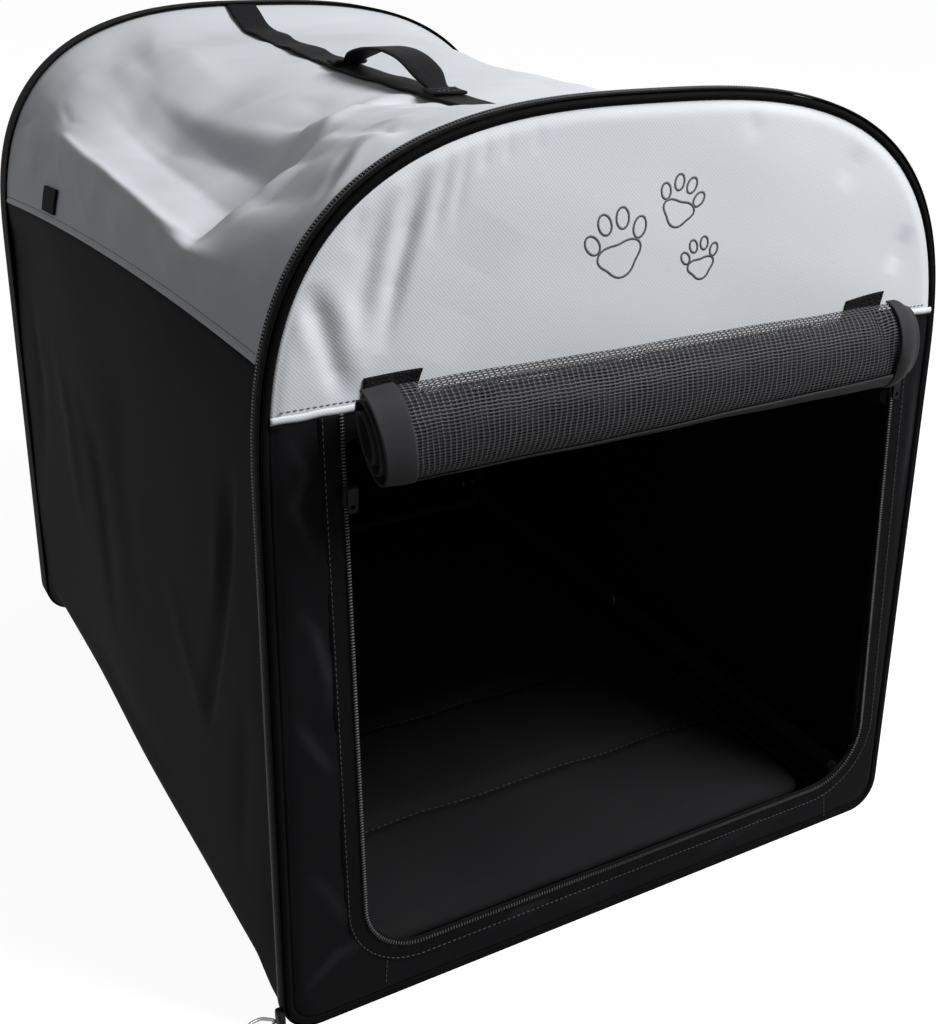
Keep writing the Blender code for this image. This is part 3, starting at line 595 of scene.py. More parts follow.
def repeated(name: str, unit: bpy.types.Mesh, places: Iterable[Matrix], finish: "Finish") -> Piece:
    """One piece made of copies of a small mesh, one at each placing matrix."""
    bm = bmesh.new()
    for place in places:
        copy = unit.copy()
        copy.transform(place)
        bm.from_mesh(copy)
        bpy.data.meshes.remove(copy)
    bpy.data.meshes.remove(unit)
    return new_object(name, bm, finish)


def small_ball(name: str, segments: int) -> bpy.types.Mesh:
    """Ball of one unit across with few faces, which is repeated as a tooth or a stitch."""
    bm = bmesh.new()
    bmesh.ops.create_uvsphere(bm, u_segments=segments, v_segments=4, radius=0.5)
    mesh = bpy.data.meshes.new(name)
    bm.to_mesh(mesh)
    bm.free()
    return mesh


def frame_at(centre: Array, along: Array, outward: Array, size: Place3) -> Matrix:
    """Placing matrix whose x runs along, z points outward and whose axes are scaled by size."""
    z = Vector(outward).normalized()
    x = Vector(along) - z * Vector(along).dot(z)
    x.normalize()
    turn = Matrix((x, z.cross(x), z)).transposed().to_4x4()
    return Matrix.Translation(Vector(centre)) @ turn @ Matrix.Diagonal((*size, 1.0))


def teeth(name: str, centres: Array, along: Array, outward: Array, size: Place3) -> Piece:
    """Nylon teeth of a zip, each with its length along a vector and its top outward."""
    places = [frame_at(c, a, o, size) for c, a, o in zip(centres, along, outward)]
    return repeated(name, small_ball("tooth", 6), places, COIL)


def stitches(name: str, path: Array, outward: Array, finish: "Finish", length: float = 0.0025,
             pause: float = 0.0010, width: float = 0.0007, proud: float = 0.00012) -> Piece:
    """A row of thread stitches along a line on cloth.

    Args:
        name: name of the piece.
        path: points of the seam line, rows of x, y and z.
        outward: outward unit vectors of the cloth, one a point.
        finish: finish of the thread.
        length: length of a stitch.
        pause: gap between stitches.
        width: thickness of the thread.
        proud: how far the thread's middle stands above the line.

    Returns:
        The object.
    """
    run = run_along(path)
    starts = np.arange(0.0, run[-1] - length, length + pause)

    def at(distance: Array, rows: Array) -> Array:
        return np.column_stack([np.interp(distance, run, rows[:, k]) for k in range(3)])

    out = at(starts + length / 2, outward)
    middle = at(starts + length / 2, path) + out * proud
    ways = at(starts + length, path) - at(starts, path)
    unit = small_ball("stitch", 5)
    unit.transform(Matrix.Rotation(math.pi / 2, 4, "Y"))
    places = [frame_at(m, way, o, (length, width, width)) for m, way, o in zip(middle, ways, out)]
    return repeated(name, unit, places, finish)


def enclosed(outline: Array) -> float:
    """Area inside a closed line of flat places, in square metres."""
    after = np.roll(outline, -1, axis=0)
    return abs(float((outline[:, 0] * after[:, 1] - after[:, 0] * outline[:, 1]).sum())) / 2


def mounted(pieces: Iterable[Piece], body: Body) -> None:
    """Rides pieces on a body."""
    for piece in pieces:
        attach(piece, body.value)


def folding(pieces: Sequence[Piece], body: Body = Body.REAR) -> None:
    """Mounts pieces on a body and gives each its own copy of its mesh."""
    mounted(pieces, body)
    for piece in pieces:
        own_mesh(piece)


# Finishes

class Nodes:
    """Short calls that add nodes to a tree and join them."""

    def __init__(self, tree: NodeTree) -> None:
        """Works on one node tree."""
        self.tree = tree

    def give(self, node: bpy.types.Node, inputs: dict) -> None:
        """Sets a node's named or numbered inputs to values, or joins them to output sockets."""
        for key, value in inputs.items():
            if isinstance(value, Socket):
                self.tree.links.new(value, node.inputs[key])
            else:
                node.inputs[key].default_value = value

    def add(self, kind: str, inputs: dict | None = None, **settings: object) -> bpy.types.Node:
        """Adds a node.

        Args:
            kind: Blender's name of the node.
            inputs: a value, or an output socket to join, for each named or numbered input.
            settings: the node's own options.

        Returns:
            The node.
        """
        node = self.tree.nodes.new(kind)
        for key, value in settings.items():
            setattr(node, key, value)
        self.give(node, inputs or {})
        return node

    def math(self, operation: str, *values: object, clamp: bool = False) -> Socket:
        """Result of a Math node."""
        node = self.add("ShaderNodeMath", dict(enumerate(values)), operation=operation, use_clamp=clamp)
        return node.outputs[0]

    def times(self, first: object, second: object) -> Socket:
        """Product of two values."""
        return self.math("MULTIPLY", first, second)

    def wave(self, turns: object) -> Socket:
        """Sine wave between 0 and 1, one for each whole turn."""
        return self.math("MULTIPLY_ADD", self.math("SINE", self.times(turns, 2 * math.pi)), 0.5, 0.5)

    def blend(self, share: object, low: object, high: object) -> Socket:
        """Colour between low and high."""
        ends = [(*end, 1) if isinstance(end, tuple) else end for end in (low, high)]
        return self.add("ShaderNodeMix", {0: share, 6: ends[0], 7: ends[1]}, data_type="RGBA").outputs[2]

    def spread(self, value: object, low: float, high: float, to_low: float = 0, to_high: float = 1) -> Socket:
        """Value moved from one range to another, kept inside it."""
        return self.add("ShaderNodeMapRange", {0: value, 1: low, 2: high, 3: to_low, 4: to_high}).outputs[0]

    def noise(self, place: object, scale: object, detail: float, roughness: float = 0.5) -> Socket:
        """Value of a noise texture."""
        inputs = {"Vector": place, "Scale": scale, "Detail": detail, "Roughness": roughness}
        return self.add("ShaderNodeTexNoise", inputs).outputs[0]

    def parts(self, vector: object) -> Sequence[Socket]:
        """The x, y and z of a vector."""
        return self.add("ShaderNodeSeparateXYZ", {0: vector}).outputs

    def raised(self, height: object, strength: float, distance: float, **settings: object) -> Socket:
        """Normal of a surface with this height."""
        inputs = {"Strength": strength, "Distance": distance, "Height": height}
        return self.add("ShaderNodeBump", inputs, **settings).outputs[0]

    def group(self, tree: NodeTree, inputs: dict) -> Sequence[Socket]:
        """Outputs of a shared node group."""
        return self.add("ShaderNodeGroup", inputs, node_tree=tree).outputs

    def handled(self, scale: float) -> Sequence[Socket]:
        """Outputs of the group of traces of use, at a scale."""
        return self.group(handling_group(), {"Place": self.place(), "Scale": scale})

    def flat(self) -> Socket:
        """Places on the flat cloth, in metres."""
        return self.add("ShaderNodeUVMap", uv_map=CLOTH_UV).outputs[0]

    def place(self) -> Socket:
        """Places on the object, in metres."""
        return self.add("ShaderNodeTexCoord").outputs["Object"]


def shared_group(name: str, inputs: dict[str, float | None], outputs: Sequence[str],
                 fill: Callable[[Nodes, object], Sequence[Socket]]) -> NodeTree:
    """A node group, built at its first use.

    Args:
        name: name of the group.
        inputs: default value by name, or None for a vector.
        outputs: names of its values.
        fill: adds the nodes and returns the output values in order.

    Returns:
        The group.
    """
    found = bpy.data.node_groups.get(name)
    if found:
        return found
    tree = bpy.data.node_groups.new(name, "ShaderNodeTree")
    for label, value in inputs.items():
        kind = "NodeSocketVector" if value is None else "NodeSocketFloat"
        socket = tree.interface.new_socket(name=label, in_out="INPUT", socket_type=kind)
        if value is not None:
            socket.default_value = value
    for label in outputs:
        tree.interface.new_socket(name=label, in_out="OUTPUT", socket_type="NodeSocketFloat")
    nodes = Nodes(tree)
    made = fill(nodes, nodes.add("NodeGroupInput").outputs)
    nodes.give(nodes.add("NodeGroupOutput"), dict(zip(outputs, made)))
    return tree


def twill_group() -> NodeTree:
    """Diagonal twill lines with single threads in them: height of the thread from 0 to 1."""
    def fill(nodes: Nodes, source: object) -> list[Socket]:
        turn = {"Vector": source["Flat"], "Angle": source["Turn"]}
        turned = nodes.add("ShaderNodeVectorRotate", turn, rotation_type="Z_AXIS").outputs[0]
        x, y, _ = nodes.parts(turned)
        wander = nodes.noise(source["Flat"], 240.0, 2.0)
        across = nodes.math("MULTIPLY_ADD", wander, 0.9, nodes.math("DIVIDE", x, source["Pitch"]))
        along = nodes.math("DIVIDE", y, nodes.times(source["Pitch"], 0.42))
        thread = nodes.wave(nodes.math("ADD", along, across))
        return [nodes.math("ADD", nodes.times(nodes.wave(across), 0.68), nodes.times(thread, 0.32))]

    return shared_group("Twill weave", {"Flat": None, "Pitch": 0.002, "Turn": 0.8}, ["Thread"], fill)


def plain_weave_group() -> NodeTree:
    """Plain over-and-under weave: height of the thread from 0 to 1."""
    def fill(nodes: Nodes, source: object) -> list[Socket]:
        waves = []
        for part in list(nodes.parts(source["Flat"]))[:2]:
            turns = nodes.math("DIVIDE", part, source["Pitch"])
            waves.append(nodes.math("SINE", nodes.times(turns, 2 * math.pi)))
        return [nodes.math("MULTIPLY_ADD", nodes.times(*waves), 0.5, 0.5)]

    return shared_group("Plain weave", {"Flat": None, "Pitch": 0.001}, ["Thread"], fill)


def handling_group() -> NodeTree:
    """Traces of use, from 0 to 1: broad patches where cloth is rubbed or creased, and fine dust in them."""
    def fill(nodes: Nodes, source: object) -> list[Socket]:
        broad = nodes.noise(source["Place"], source["Scale"], 4.0, 0.55)
        fine = nodes.noise(source["Place"], nodes.times(source["Scale"], 34.0), 2.0)
        patch = nodes.spread(broad, 0.32, 0.70)
        return [patch, nodes.times(patch, nodes.spread(fine, 0.52, 0.74))]

    return shared_group("Handling", {"Place": None, "Scale": 9.0}, ["Patch", "Dust"], fill)


def net_group() -> NodeTree:
    """Square net: 1 on strands and 0 in holes, the strands' height, and the knots where they cross."""
    def fill(nodes: Nodes, source: object) -> list[Socket]:
        x, y, _ = nodes.parts(source["Flat"])
        wander = nodes.noise(source["Flat"], 55.0, 1.0)
        rounds = []
        for part, pitch, half in ((x, "Cell", 0.40), (y, "Row", 0.62)):
            turns = nodes.math("MULTIPLY_ADD", wander, 0.9, nodes.math("DIVIDE", part, source[pitch]))
            off = nodes.math("ABSOLUTE", nodes.math("SUBTRACT", nodes.math("FRACT", turns), 0.5))
            rounds.append(nodes.spread(off, 0.0, half / 2, 1.0, 0.0))
        height = nodes.math("MAXIMUM", *rounds)
        return [nodes.math("GREATER_THAN", height, 0.05), height, nodes.times(*rounds)]

    inputs = {"Flat": None, "Cell": 0.0034, "Row": 0.0019}
    return shared_group("Net", inputs, ["Strand", "Height", "Knot"], fill)


@dataclass(frozen=True)
class Finish:
    """A finish, whose material is built at its first use.

    Attributes:
        name: name of the material.
        colour: main colour of the surface.
    """

    name: str
    colour: Colour

    def look(self, nodes: Nodes) -> dict[str, object]:
        """Adds the finish's nodes and returns the inputs of its shader."""
        raise NotImplementedError

    @cached_property
    def material(self) -> Material:
        """The material of this finish."""
        material = bpy.data.materials.new(self.name)
        material.use_nodes = True
        nodes = Nodes(material.node_tree)
        nodes.give(material.node_tree.nodes["Principled BSDF"], self.look(nodes))
        return material


class Weave(Enum):
    """How a cloth is woven."""

    TWILL = "twill"
    PLAIN = "plain"


@dataclass(frozen=True)
class ClothFinish(Finish):
    """Woven cloth; its main colour is that of the threads' tops.

    Attributes:
        gap_colour: colour between the threads.
        patch_colour: colour of rubbed patches, and of the painted highlight along fold crests.
        weave: how it is woven.
        pitch: distance between twill lines or threads, in metres.
        turn: turn of the twill lines, in radians.
        show: how strongly the gaps between threads show, from 0 to 1.
        wear: how strongly the worn patches show.
        relief: height of the threads in metres.
        roughness: roughness of the threads' tops.
        gloss: specular level.
    """

    gap_colour: Colour
    patch_colour: Colour
    weave: Weave = Weave.PLAIN
    pitch: float = 0.0011
    turn: float = 0.6
    show: float = 0.5
    wear: float = 0.5
    relief: float = 0.00012
    roughness: float = 0.6
    gloss: float = 0.015

    def look(self, nodes: Nodes) -> dict[str, object]:
        """Adds the weave, the wear and the painted highlight along fold crests."""
        inputs = {"Flat": nodes.flat(), "Pitch": self.pitch}
        if self.weave is Weave.TWILL:
            thread = nodes.group(twill_group(), {**inputs, "Turn": self.turn})["Thread"]
        else:
            thread = nodes.group(plain_weave_group(), inputs)["Thread"]
        # Painted highlight: the crest attribute turns fold ridges to the paler patch colour, as the random
        # wear patches do
        crest_highlight = nodes.add("ShaderNodeAttribute", attribute_name=CREST_HIGHLIGHT).outputs["Fac"]
        patch = nodes.times(nodes.handled(9.0)["Patch"], self.wear)
        worn_and_highlit = nodes.blend(nodes.math("MAXIMUM", patch, crest_highlight, clamp=True), self.colour, self.patch_colour)
        gaps = nodes.times(nodes.math("SUBTRACT", 1.0, thread), self.show)
        rough = min(1.0, self.roughness + 0.15)
        return {"Base Color": nodes.blend(gaps, worn_and_highlit, self.gap_colour), "Specular IOR Level": self.gloss,
                "Roughness": nodes.spread(thread, 0.0, 1.0, rough, self.roughness),
                "Normal": nodes.raised(thread, 0.6, self.relief)}


@dataclass(frozen=True)
class WebbingFinish(Finish):
    """Webbing or zip tape with herringbone ribs along the band; its main colour is that of the ribs.

    Attributes:
        groove_colour: colour between the ribs.
        rib: distance between ribs, in metres.
        roughness: roughness of the ribs.
        gloss: specular level.
    """

    groove_colour: Colour
    rib: float = 0.0013
    roughness: float = 0.6
    gloss: float = 0.3

    def look(self, nodes: Nodes) -> dict[str, object]:
        """Adds the ribs and the wear."""
        x, y, _ = nodes.parts(nodes.flat())
        zigzag = nodes.math("PINGPONG", y, self.rib * 2)
        rib = nodes.wave(nodes.math("DIVIDE", nodes.math("ADD", x, zigzag), self.rib))
        use = nodes.handled(14.0)
        shade = nodes.times(rib, nodes.spread(use["Patch"], 0, 1, 0.6, 1.0))
        return {"Base Color": nodes.blend(shade, self.groove_colour, self.colour),
                "Normal": nodes.raised(rib, 0.7, 0.00018), "Specular IOR Level": self.gloss,
                "Roughness": nodes.spread(use["Dust"], 0, 1, self.roughness, 0.95)}


@dataclass(frozen=True)
class NetFinish(Finish):
    """Knitted polyester net, open between its strands.

    Attributes:
        knot_glint_colour: colour of the painted glint on the knots where the strands cross.
        cell: width of a cell along the door, in metres.
        row: distance between its rows, in metres.
    """

    knot_glint_colour: Colour
    cell: float = 0.0034
    row: float = 0.0019

    def look(self, nodes: Nodes) -> dict[str, object]:
        """Adds the strands, the holes and the painted glints on the knots."""
        net = nodes.group(net_group(), {"Flat": nodes.flat(), "Cell": self.cell, "Row": self.row})
        # Knots where the strands cross are painted lighter, as a painted glint
        knot_glint = nodes.times(net["Knot"], nodes.spread(nodes.handled(20.0)["Patch"], 0, 1, 0.45, 1.0))
        return {"Base Color": nodes.blend(knot_glint, self.colour, self.knot_glint_colour), "Alpha": net["Strand"],
                "Roughness": 0.5, "Specular IOR Level": 0.15,
                "Normal": nodes.raised(net["Height"], 0.8, 0.0003)}


@dataclass(frozen=True)
class HardFinish(Finish):
    """Painted steel, bare metal, moulded plastic, thread or ink.

    Attributes:
        patch_colour: colour of rubbed patches.
        roughness: lowest roughness.
        metallic: 1 for bare metal.
        gloss: specular level.
        grain: size of the surface's grain as a noise scale.
        relief: height of the grain in metres.
    """

    patch_colour: Colour
    roughness: float = 0.4
    metallic: float = 0.0
    gloss: float = 0.4
    grain: float = 900.0
    relief: float = 0.00005

    def look(self, nodes: Nodes) -> dict[str, object]:
        """Adds the grain and the wear."""
        use = nodes.handled(28.0)
        return {"Base Color": nodes.blend(use["Patch"], self.colour, self.patch_colour),
                "Roughness": nodes.spread(use["Dust"], 0, 1, self.roughness, self.roughness + 0.3),
                "Metallic": self.metallic, "Specular IOR Level": self.gloss,
                "Normal": nodes.raised(nodes.noise(nodes.place(), self.grain, 2.0), 0.5, self.relief)}


@dataclass(frozen=True)
class HookFinish(Finish):
    """Hook-and-loop patch: a felt of tiny hooks with dust in it."""

    def look(self, nodes: Nodes) -> dict[str, object]:
        """Adds the tufts and the dust."""
        tuft = nodes.add("ShaderNodeTexVoronoi", {"Vector": nodes.place(), "Scale": 900.0}).outputs[0]
        dark = tuple(c * 0.3 for c in self.colour)
        felt = nodes.blend(nodes.spread(tuft, 0.1, 0.7), self.colour, dark)
        colour = nodes.blend(nodes.times(nodes.handled(30.0)["Dust"], 0.25), felt, (0.12, 0.12, 0.12))
        return {"Base Color": colour, "Roughness": 0.95, "Specular IOR Level": 0.1,
                "Normal": nodes.raised(tuft, 0.9, 0.0005, invert=True)}


@dataclass(frozen=True)
class FloorFinish(Finish):
    """Pale floor that looks white and only throws a little light.

    Attributes:
        dim_colour: colour that the object's own light comes back with.
        glow: how bright it looks.
    """

    dim_colour: Colour
    glow: float

    def look(self, nodes: Nodes) -> dict[str, object]:
        """Tells rays that are seen from rays that light."""
        seen = seen_rays(nodes)
        return {"Base Color": nodes.blend(seen, self.dim_colour, self.colour), "Roughness": 0.9,
                "Specular IOR Level": 0.0, "Emission Color": WHITE,
                "Emission Strength": nodes.times(seen, self.glow)}


def seen_rays(nodes: Nodes) -> Socket:
    """1 for rays that the camera sees, also in gloss or through a surface, and 0 for the others."""
    rays = nodes.add("ShaderNodeLightPath").outputs
    seen = nodes.math("MAXIMUM", rays["Is Camera Ray"], rays["Is Glossy Ray"])
    return nodes.math("MAXIMUM", seen, rays["Is Transmission Ray"])



GREY_FRONT = ClothFinish("Silver-grey twill", (0.54, 0.56, 0.59), (0.32, 0.33, 0.35), (0.49, 0.51, 0.54),
                         Weave.TWILL, pitch=0.0015, turn=-0.72, show=0.26, relief=0.00007, roughness=0.55,
                         gloss=0.14)
GREY_ROOF = ClothFinish("Silver-grey roof cloth", (0.46, 0.48, 0.51), (0.31, 0.32, 0.34), (0.41, 0.43, 0.46),
                        Weave.TWILL, pitch=0.0015, turn=0.9, show=0.22, relief=0.00007, roughness=0.5,
                        gloss=0.14)
# Its patch colour also paints highlights on the fold crests of the front's lower cloth
BLACK_CLOTH = ClothFinish("Black cloth", (0.0068, 0.0066, 0.0075), (0.003, 0.003, 0.0035),
                          (0.024, 0.024, 0.027), wear=0.10, gloss=0.02)
BLACK_WALL = ClothFinish("Black wall cloth", (0.0045, 0.0045, 0.0048), (0.0022, 0.0022, 0.0024),
                         (0.010, 0.010, 0.0107), wear=0.4)
BLACK_PIPING = ClothFinish("Black piping", (0.0035, 0.0035, 0.0038), (0.0016, 0.0016, 0.0018),
                           (0.006, 0.006, 0.0064), Weave.TWILL, pitch=0.0014, roughness=0.55)
ROLL_CLOTH = ClothFinish("Roll binding cloth", (0.026, 0.026, 0.028), (0.010, 0.010, 0.011),
                         (0.042, 0.042, 0.045), wear=0.6, roughness=0.55, gloss=0.06)
# Painted shade: the mat is coloured darker than its own cloth, for the deep shade inside the cabin
SHADE_DARKENED_MAT = ClothFinish("Quilted mat cloth darkened for shade", (0.013, 0.013, 0.014), (0.005, 0.005, 0.006),
                        (0.018, 0.018, 0.019), pitch=0.0013, wear=0.6, roughness=0.8, gloss=0.01)
LIGHT_EDGE = ClothFinish("Light binding line", (0.055, 0.055, 0.058), (0.03, 0.03, 0.033),
                         (0.06, 0.06, 0.065), Weave.TWILL, pitch=0.0012, gloss=0.1)
# Pale cord colour that paints the highlights along the edges of the front zip
RIM_HIGHLIGHT_CORD = ClothFinish("Rim highlight line", (0.024, 0.024, 0.026), (0.012, 0.012, 0.014), (0.10, 0.10, 0.105),
                       Weave.TWILL, pitch=0.0012, roughness=0.5, gloss=0.1)
ZIP_TAPE = WebbingFinish("Black zip tape", (0.0068, 0.0066, 0.0074), (0.0034, 0.0033, 0.0037), 0.0012,
                         gloss=0.02)
WEBBING = WebbingFinish("Black webbing", (0.012, 0.012, 0.013), (0.004, 0.004, 0.005), 0.0016, gloss=0.04)
# The net's second colour is a painted glint on its knots
NET = NetFinish("Black net", (0.013, 0.0125, 0.0145), (0.17, 0.16, 0.18))
COIL = HardFinish("Nylon zip coil", (0.020, 0.020, 0.022), (0.050, 0.050, 0.053), 0.3, gloss=0.35)
THREAD_BLACK = HardFinish("Black thread", (0.020, 0.020, 0.021), (0.035, 0.035, 0.036), 0.55, gloss=0.3)
THREAD_DARK = HardFinish("Dark grey thread", (0.11, 0.115, 0.12), (0.08, 0.08, 0.085), 0.6, gloss=0.2)
PRINT_INK = HardFinish("Print ink", (0.050, 0.050, 0.055), (0.085, 0.085, 0.090), 0.55, gloss=0.3)
HOOKS = HookFinish("Hook patch", (0.010, 0.010, 0.011))
PAINTED_STEEL = HardFinish("Black painted steel", (0.008, 0.008, 0.009), (0.020, 0.020, 0.022), 0.45,
                           gloss=0.12, grain=500.0, relief=0.0001)
DULL_RIVET = HardFinish("Dull zinc rivets", (0.20, 0.20, 0.205), (0.12, 0.12, 0.125), 0.45, metallic=1.0)
BLACK_PLASTIC = HardFinish("Moulded elbows", (0.010, 0.010, 0.011), (0.018, 0.018, 0.019), 0.45, gloss=0.12)
# Painted shade: the door's zip sliders and pulls are made near-black so that they sink into the shadow under
# the roll
DARK_ZIP_METAL = HardFinish("Darkened zip parts", (0.005, 0.005, 0.0055), (0.012, 0.012, 0.013), 0.5,
                          metallic=0.1, gloss=0.06)
PULL_WIRE = HardFinish("Pull wire", (0.42, 0.42, 0.43), (0.24, 0.24, 0.25), 0.3, metallic=0.9, gloss=0.5)
PALE_FLOOR = FloorFinish("Pale floor", (0.18, 0.18, 0.18), (0.15, 0.15, 0.15), 0.94)


# Front and rear

# Creases of the front's upper cloth, of the rear's and of the front's lower cloth, on (x, height) in mm
FRONT_FOLDS = (
    Fold(((-137, 504), (-146, 473), (-155, 442), (-164, 408)), 5.2, -4.0, skew=-0.25),
    Fold(((-150, 500), (-159, 466), (-168, 430)), 5.0, 1.1),
    Fold(((-157, 494), (-168, 461), (-175, 430), (-180, 404)), 6.5, -2.2),
    Fold(((-201, 449), (-194, 422), (-185, 386)), 6.0, -2.6, fade=0.25),
    Fold(((-192, 455), (-180, 423), (-174, 390)), 7.0, 1.4),
    Fold(((-208, 440), (-203, 410)), 4.5, 0.7),
    Fold(((-171, 485), (-180, 462)), 3.2, -0.7),
    Fold(((-124, 509), (-130, 486), (-137, 460)), 3.2, -1.0),
    Fold(((-114, 512), (-119, 490), (-124, 466)), 2.8, -0.6),
    Fold(((-103, 515), (-108, 494)), 2.6, -0.45),
    Fold(((-90, 517), (-94, 498)), 2.6, -0.3),
    Fold(((-72, 519), (-77, 502)), 3.4, -0.25),
    Fold(((-95, 470), (-120, 430), (-135, 400)), 16.0, -1.1),
    Fold(((60, 520), (70, 500)), 6.0, -0.5),
    Fold(((150, 492), (135, 468)), 8.0, -0.7),
    Fold(((196, 440), (184, 410)), 7.0, -1.2),
)
REAR_FOLDS = (
    Fold(((140, 498), (152, 462), (166, 420)), 6.0, -2.0),
    Fold(((-150, 494), (-160, 458), (-172, 425)), 6.0, -1.7),
    Fold(((20, 518), (12, 480), (26, 430)), 12.0, -1.0),
    Fold(((95, 512), (101, 492)), 4.0, -1.0),
)
LOWER_FOLDS = (
    Fold(((-217, 375), (-207, 351), (-214, 334), (-202, 299)), 3.5, 0.9),
    Fold(((-214, 277), (-205, 260), (-198, 228), (-198, 205)), 3.5, 0.9),
    Fold(((-219, 211), (-208, 189), (-196, 167)), 3.2, 0.8),
    Fold(((-221, 27), (-197, 47), (-176, 47)), 3.5, 0.9),
    Fold(((-216, 110), (-203, 92), (-190, 62)), 4.0, 0.6),
    Fold(((214, 163), (209, 131), (201, 70), (190, 46), (158, 35)), 2.4, 0.7, fade=0.1),
    Fold(((-120, 22), (-60, 27), (10, 20)), 5.0, 0.6),
    Fold(((60, 14), (120, 25), (170, 22)), 5.0, 0.6),
    Fold(((217, 350), (220, 290), (216, 240)), 4.0, 0.8),
)


def panel_track(inset: float, low: float, steps: int = 200) -> Track:
    """Arch of a panel, drawn in by inset, from the left at height low over the top to the right."""
    first = float(arch_angle(np.array([low]), inset)[0])
    x, z = superellipse(np.linspace(math.pi - first, first, steps + 1), inset)
    return Track(columns(x, z))


def end_points(flat: Array, relief: Array, end: int) -> Array:
    """Points on the front (end -1) or rear (end +1) panel, standing out from it by relief."""
    y = end * (HALF_L + relief)
    return columns(flat[:, 0], y, flat[:, 1])


@dataclass
class EndPanel:
    """Upper grey and lower black cloth at one end of the carrier.

    Attributes:
        end: -1 for the front, +1 for the rear.
        inset: how far inside the body's outline the cloth ends, under the rim.
        thick: thickness of the cloth.
        edge_drop: how far its edge rolls back into the rim.
        edge_reach: how far from its edge it starts to.
        wave: height of the upper cloth's gentle waves.
        folds: creases of the upper cloth.
        lower_folds: creases of the lower cloth.
        lower_cut: flat area of the lower cloth with the door opening and its turned hems, in square metres.
        seed: picks the cloth's gentle waves.
    """

    end: int = -1
    inset: float = 0.0050
    thick: float = 0.0014
    edge_drop: float = 0.0016
    edge_reach: float = 0.0045
    wave: float = 0.0005
    folds: tuple[Fold, ...] = FRONT_FOLDS
    lower_folds: tuple[Fold, ...] = LOWER_FOLDS
    lower_cut: float = 0.054
    seed: int = 3
    label: str = field(init=False)
    body: Body = field(init=False)

    def __post_init__(self) -> None:
        """Names the end and the body that it rides on."""
        self.label = "front" if self.end < 0 else "rear"
        self.body = Body.FRONT if self.end < 0 else Body.REAR

    def relief(self, flat: Array) -> Array:
        """Height of the upper cloth over the flat panel."""
        from_seam = eased(flat[:, 1], PANEL_SEAM, PANEL_SEAM + 0.05)
        return folded(self.folds, flat) + self.wave * uneven(flat, 0.11, self.seed) * (0.4 + 0.6 * from_seam)

    def rolled_back(self, from_edge: Array) -> Array:
        """How far the cloth is set back near its edge."""
        return self.edge_drop * np.exp(-((from_edge / self.edge_reach) ** 2))

    def sheet(self, word: str, across: int, along: int, place: Callable, **settings: object) -> Sheet:
        """A piece of cloth that faces out of this end."""
        settings = {"thick": self.thick, **settings}
        return Sheet(f"{self.label}_{word}", across, along, place, (0, self.end, 0), **settings)

    def upper(self) -> Piece:
        """Grey cloth above the seam, on a grid that fans out from the middle of the seam."""
        rim = panel_track(self.inset, PANEL_SEAM)
        pole = np.array([0.0, PANEL_SEAM])

        def place(u: Array, v: Array) -> Laid:
            edge = rim.at(u * rim.length())
            flat = pole + (edge - pole) * v[:, None]
            from_edge = np.linalg.norm(edge - flat, axis=1)
            relief = self.relief(flat) * eased(from_edge, 0, 0.006)
            return end_points(flat, relief - self.rolled_back(from_edge), self.end), flat

        return self.sheet("upper_cloth", 380, 120, place).build(GREY_FRONT)

    def lower_plain(self) -> Piece:
        """Black cloth below the seam at the rear, without an opening."""
        outline = body_outline(self.inset)
        right = outline[outline[:, 0] > 0]
        side = HALF_W - self.inset

        def place(u: Array, v: Array) -> Laid:
            z = self.inset + (PANEL_SEAM - self.inset) * v
            half = np.interp(z, right[:, 1], right[:, 0], right=side)
            flat = columns(half * (2 * u - 1), z)
            relief = 0.0008 * uneven(flat, 0.16, self.seed + 1) * np.minimum(1, 6 * np.minimum(u, 1 - u))
            return end_points(flat, relief, self.end), flat

        return self.sheet("lower_cloth", 120, 110, place).build(BLACK_WALL)

    def lower_with_door(self) -> Piece:
        """Black cloth round the door opening, on rings between the opening and the rim."""
        steps = 10
        per_corner = steps + 1
        opening = rounded_corners(DOOR_CORNERS, DOOR_RADII, steps)
        inner = [opening[i * per_corner:(i + 1) * per_corner] for i in range(4)]
        side = HALF_W - self.inset - 0.0006
        turn = CORNER - self.inset
        outer = [corner_arc((-HALF_W + CORNER, CORNER), turn, 180, 270, steps),
                 corner_arc((HALF_W - CORNER, CORNER), turn, 270, 360, steps),
                 [(side, PANEL_SEAM)] * per_corner, [(-side, PANEL_SEAM)] * per_corner]
        runs = [(240, 14), (250, 14), (240, 6), (250, 6)]

        def ring(corners: list[list[Place2]]) -> Array:
            rows: list[Array] = []
            for k, (straight, bend) in enumerate(runs):
                here, after = np.array(corners[k]), np.array(corners[(k + 1) % 4])
                ways = np.linspace(0, steps, bend, endpoint=False)
                rows.append(np.column_stack([np.interp(ways, range(per_corner), here[:, a]) for a in (0, 1)]))
                share = np.linspace(0, 1, straight, endpoint=False)[:, None]
                rows.append(here[-1] + (after[0] - here[-1]) * share)
            return np.vstack(rows)

        inside, outside = ring(inner), ring(outer)
        count = len(inside)

        def place(u: Array, v: Array) -> tuple[Array, Array, Array]:
            i = np.round(u * count).astype(int) % count
            flat = inside[i] + (outside[i] - inside[i]) * v[:, None]
            from_edge = np.linalg.norm(outside[i] - flat, axis=1)
            soft = eased(from_edge, 0, 0.005) * eased(v, 0.0, 0.25)
            folds = folded(self.lower_folds, flat)
            relief = (folds + 0.0004 * uneven(flat, 0.07, 9)) * soft
            below_seam = flat[:, 1] < PANEL_SEAM - 0.004
            # Painted highlight: the higher a fold stands, the more the black cloth turns to its paler patch
            # colour
            highlight_share = folds / 0.0012
            return end_points(flat, relief - self.rolled_back(from_edge) * below_seam, self.end), flat, highlight_share

